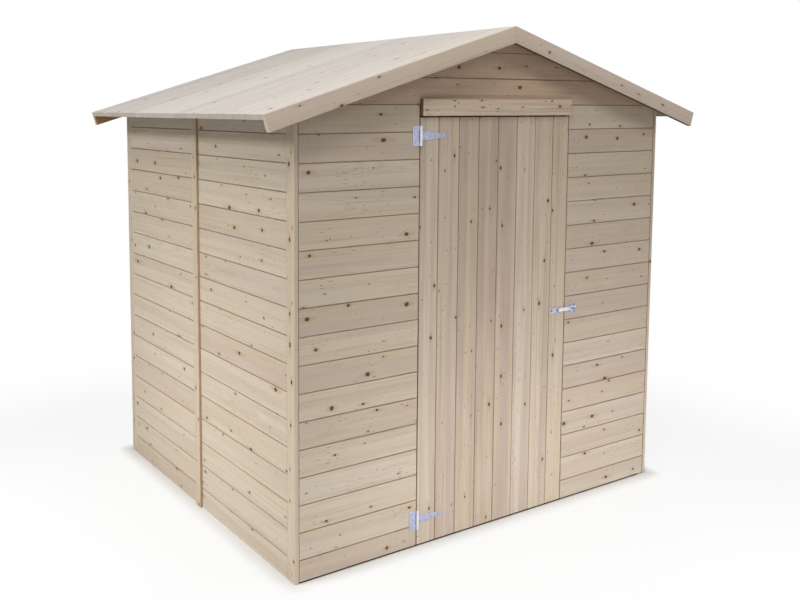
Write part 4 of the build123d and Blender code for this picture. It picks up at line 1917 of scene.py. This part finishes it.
@dataclass(frozen=True)
class Studio:
    """A pale floor, a white world, soft lamps and the camera."""

    floor_half: float = 30.0
    floor_marks: int = 9
    floor_drop: float = 0.0005
    floor_near: float = 0.5
    floor_far: float = 1.6
    floor_edge: float = 0.08
    floor_white: float = 0.85
    floor_greys: tuple[Colour, Colour] = ((0.86, 0.86, 0.86, 1.0), (0.9, 0.9, 0.9, 1.0))
    world_light: float = 0.09
    lamps: tuple[Lamp, ...] = (
        Lamp("high_lamp", (0.0, -1.2, 5.2), (0.0, -0.5, 1.0), 2.0, 1.0, 59.0, (1.0, 0.995, 0.96)),
        Lamp("front_lamp", (-3.0, -2.6, 4.6), (0.0, 0.0, 1.0), 1.2, 1.2, 87.0, (1.0, 0.995, 0.96)),
        Lamp("right_lamp", (1.5, -3.6, 4.2), (0.0, 0.0, 1.0), 1.2, 1.2, 25.0, (1.0, 0.995, 0.96)),
        Lamp("left_lamp", (-4.4, 0.4, 3.5), (-0.9, 0.4, 1.2), 1.4, 0.7, 70.0, (0.985, 1.0, 0.955)),
        Lamp("front_level_lamp", (0.0, -4.5, 1.4), (0.0, 0.0, 1.3), 2.4, 1.2, 8.4, (1.0, 0.965, 0.92)),
        Lamp("front_low_lamp", (0.1, -1.7, 0.3), (0.1, -0.7, 0.3), 2.0, 0.4, 1.7, (0.96, 0.966, 1.0), 2.2),
        Lamp("front_foot_shade_lamp", (0.5, -1.9, 0.12), (0.5, 0.0, 0.12), 2.4, 0.2, 3.85, (0.93, 0.955, 1.0), 2.2),
        Lamp("left_low_lamp", (-1.7, 0.0, 0.5), (-0.9, 0.0, 0.2), 1.6, 0.5, 3.3, (0.96, 0.966, 1.0)),
        Lamp("left_foot_lamp", (-2.1, -0.2, 0.12), (0.0, -0.2, 0.12), 2.0, 0.2, 1.7, (0.96, 0.966, 1.0)),
        Lamp("fill_lamp", (4.2, 3.6, 1.0), (0.0, 0.0, 0.9), 2.5, 2.0, 150.0),
    )
    camera_place: Triple = (-2.4245, -3.2818, 1.6042)
    camera_turn: Triple = (84.57, 0.0, -32.645)
    lens: float = 41.46
    sensor: float = 36.0
    shift: Pair = (0.0962, -0.1304)

    def build(self) -> None:
        """Lay the floor, light it and set the camera."""
        self.floor()
        self.world()
        for lamp in self.lamps:
            lamp.build()
        data = bpy.data.cameras.new("camera")
        data.sensor_width = self.sensor
        data.lens = self.lens
        data.shift_x, data.shift_y = self.shift
        camera = bpy.data.objects.new("camera", data)
        bpy.context.scene.collection.objects.link(camera)
        camera.location = self.camera_place
        camera.rotation_euler = [math.radians(turn) for turn in self.camera_turn]
        bpy.context.scene.camera = camera
        bpy.context.scene.view_settings.view_transform = "Standard"

    def floor(self) -> None:
        """Lay the floor, a level grid: point (u, v) = (u, v, -drop)."""
        marks = np.linspace(-self.floor_half, self.floor_half, self.floor_marks)
        u, v = np.meshgrid(marks, marks, indexing="ij")
        points = np.stack([u, v, np.full_like(u, -self.floor_drop)], -1).reshape(-1, 3)
        grid = np.arange(u.size).reshape(u.shape)
        faces = np.stack([grid[:-1, :-1], grid[1:, :-1], grid[1:, 1:], grid[:-1, 1:]], -1).reshape(-1, 4)
        mesh = bpy.data.meshes.new("floor")
        mesh.from_pydata(points.tolist(), [], faces.tolist())
        mesh.materials.append(self.floor_material())
        floor = bpy.data.objects.new("floor", mesh)
        bpy.context.scene.collection.objects.link(floor)

    def floor_material(self) -> bpy.types.Material:
        """Wire the floor's finish.

        Under and beside the shed it is a pale matt surface that keeps the shed's shadow.
        Further out it runs into the white backdrop: share of white = a step by floor_edge
        from the shed's outline, and the rest between floor_near and floor_far from it.

        Returns:
            The material.
        """
        wire = Wiring(bpy.data.materials.new("pale_floor"))
        place = wire.node("ShaderNodeTexCoord").outputs["Object"]
        left, front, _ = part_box("corner_board_front_left")[0]
        right, back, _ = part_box("corner_board_back_right")[1]
        beyond = []
        for at, low, high in zip(wire.split(place), (left, front), (right, back)):
            sides = wire.math("SUBTRACT", at, high), wire.math("SUBTRACT", low, at)
            beyond.append(wire.math("MAXIMUM", wire.math("MAXIMUM", *sides), 0.0))
        away = wire.length(*beyond)
        step = wire.spread(away, 0.0, self.floor_edge, 0.0, self.floor_white)
        rest = wire.spread(away, self.floor_near, self.floor_far, 0.0, 1.0 - self.floor_white)
        speck = wire.noise(wire.scaled(place, (3.0, 3.0, 3.0)))
        colour = wire.blend(speck, *self.floor_greys)
        matt, white = wire.fed("ShaderNodeBsdfDiffuse", colour), wire.node("ShaderNodeEmission")
        wire.backdrop(wire.math("ADD", step, rest), matt, white)
        return wire.owner

    def world(self) -> None:
        """A white backdrop that is seen at strength 1 and lights the shed at its own level."""
        world = bpy.data.worlds.new("studio")
        bpy.context.scene.world = world
        wire = Wiring(world, "ShaderNodeOutputWorld")
        light, white = (wire.fed("ShaderNodeBackground", WHITE, power) for power in (self.world_light, 1.0))
        wire.backdrop(1.0, light, white)


def main() -> None:
    """Build the shed part by part, then the studio round it."""
    logging.basicConfig(level=logging.INFO, format="%(name)s: %(message)s")
    finishes = Finishes.wired()
    roofline = Roofline.from_gable()
    parts = (
        Cladding(roofline, finishes),
        Roof(roofline, finishes),
        Trim(roofline, finishes),
        Framework(roofline, finishes),
        Door(finishes),
        Hardware(finishes),
    )
    for part in parts:
        part.build()
        log.info("%s is built", type(part).__name__)
    Studio().build()


if __name__ == "__main__":
    main()
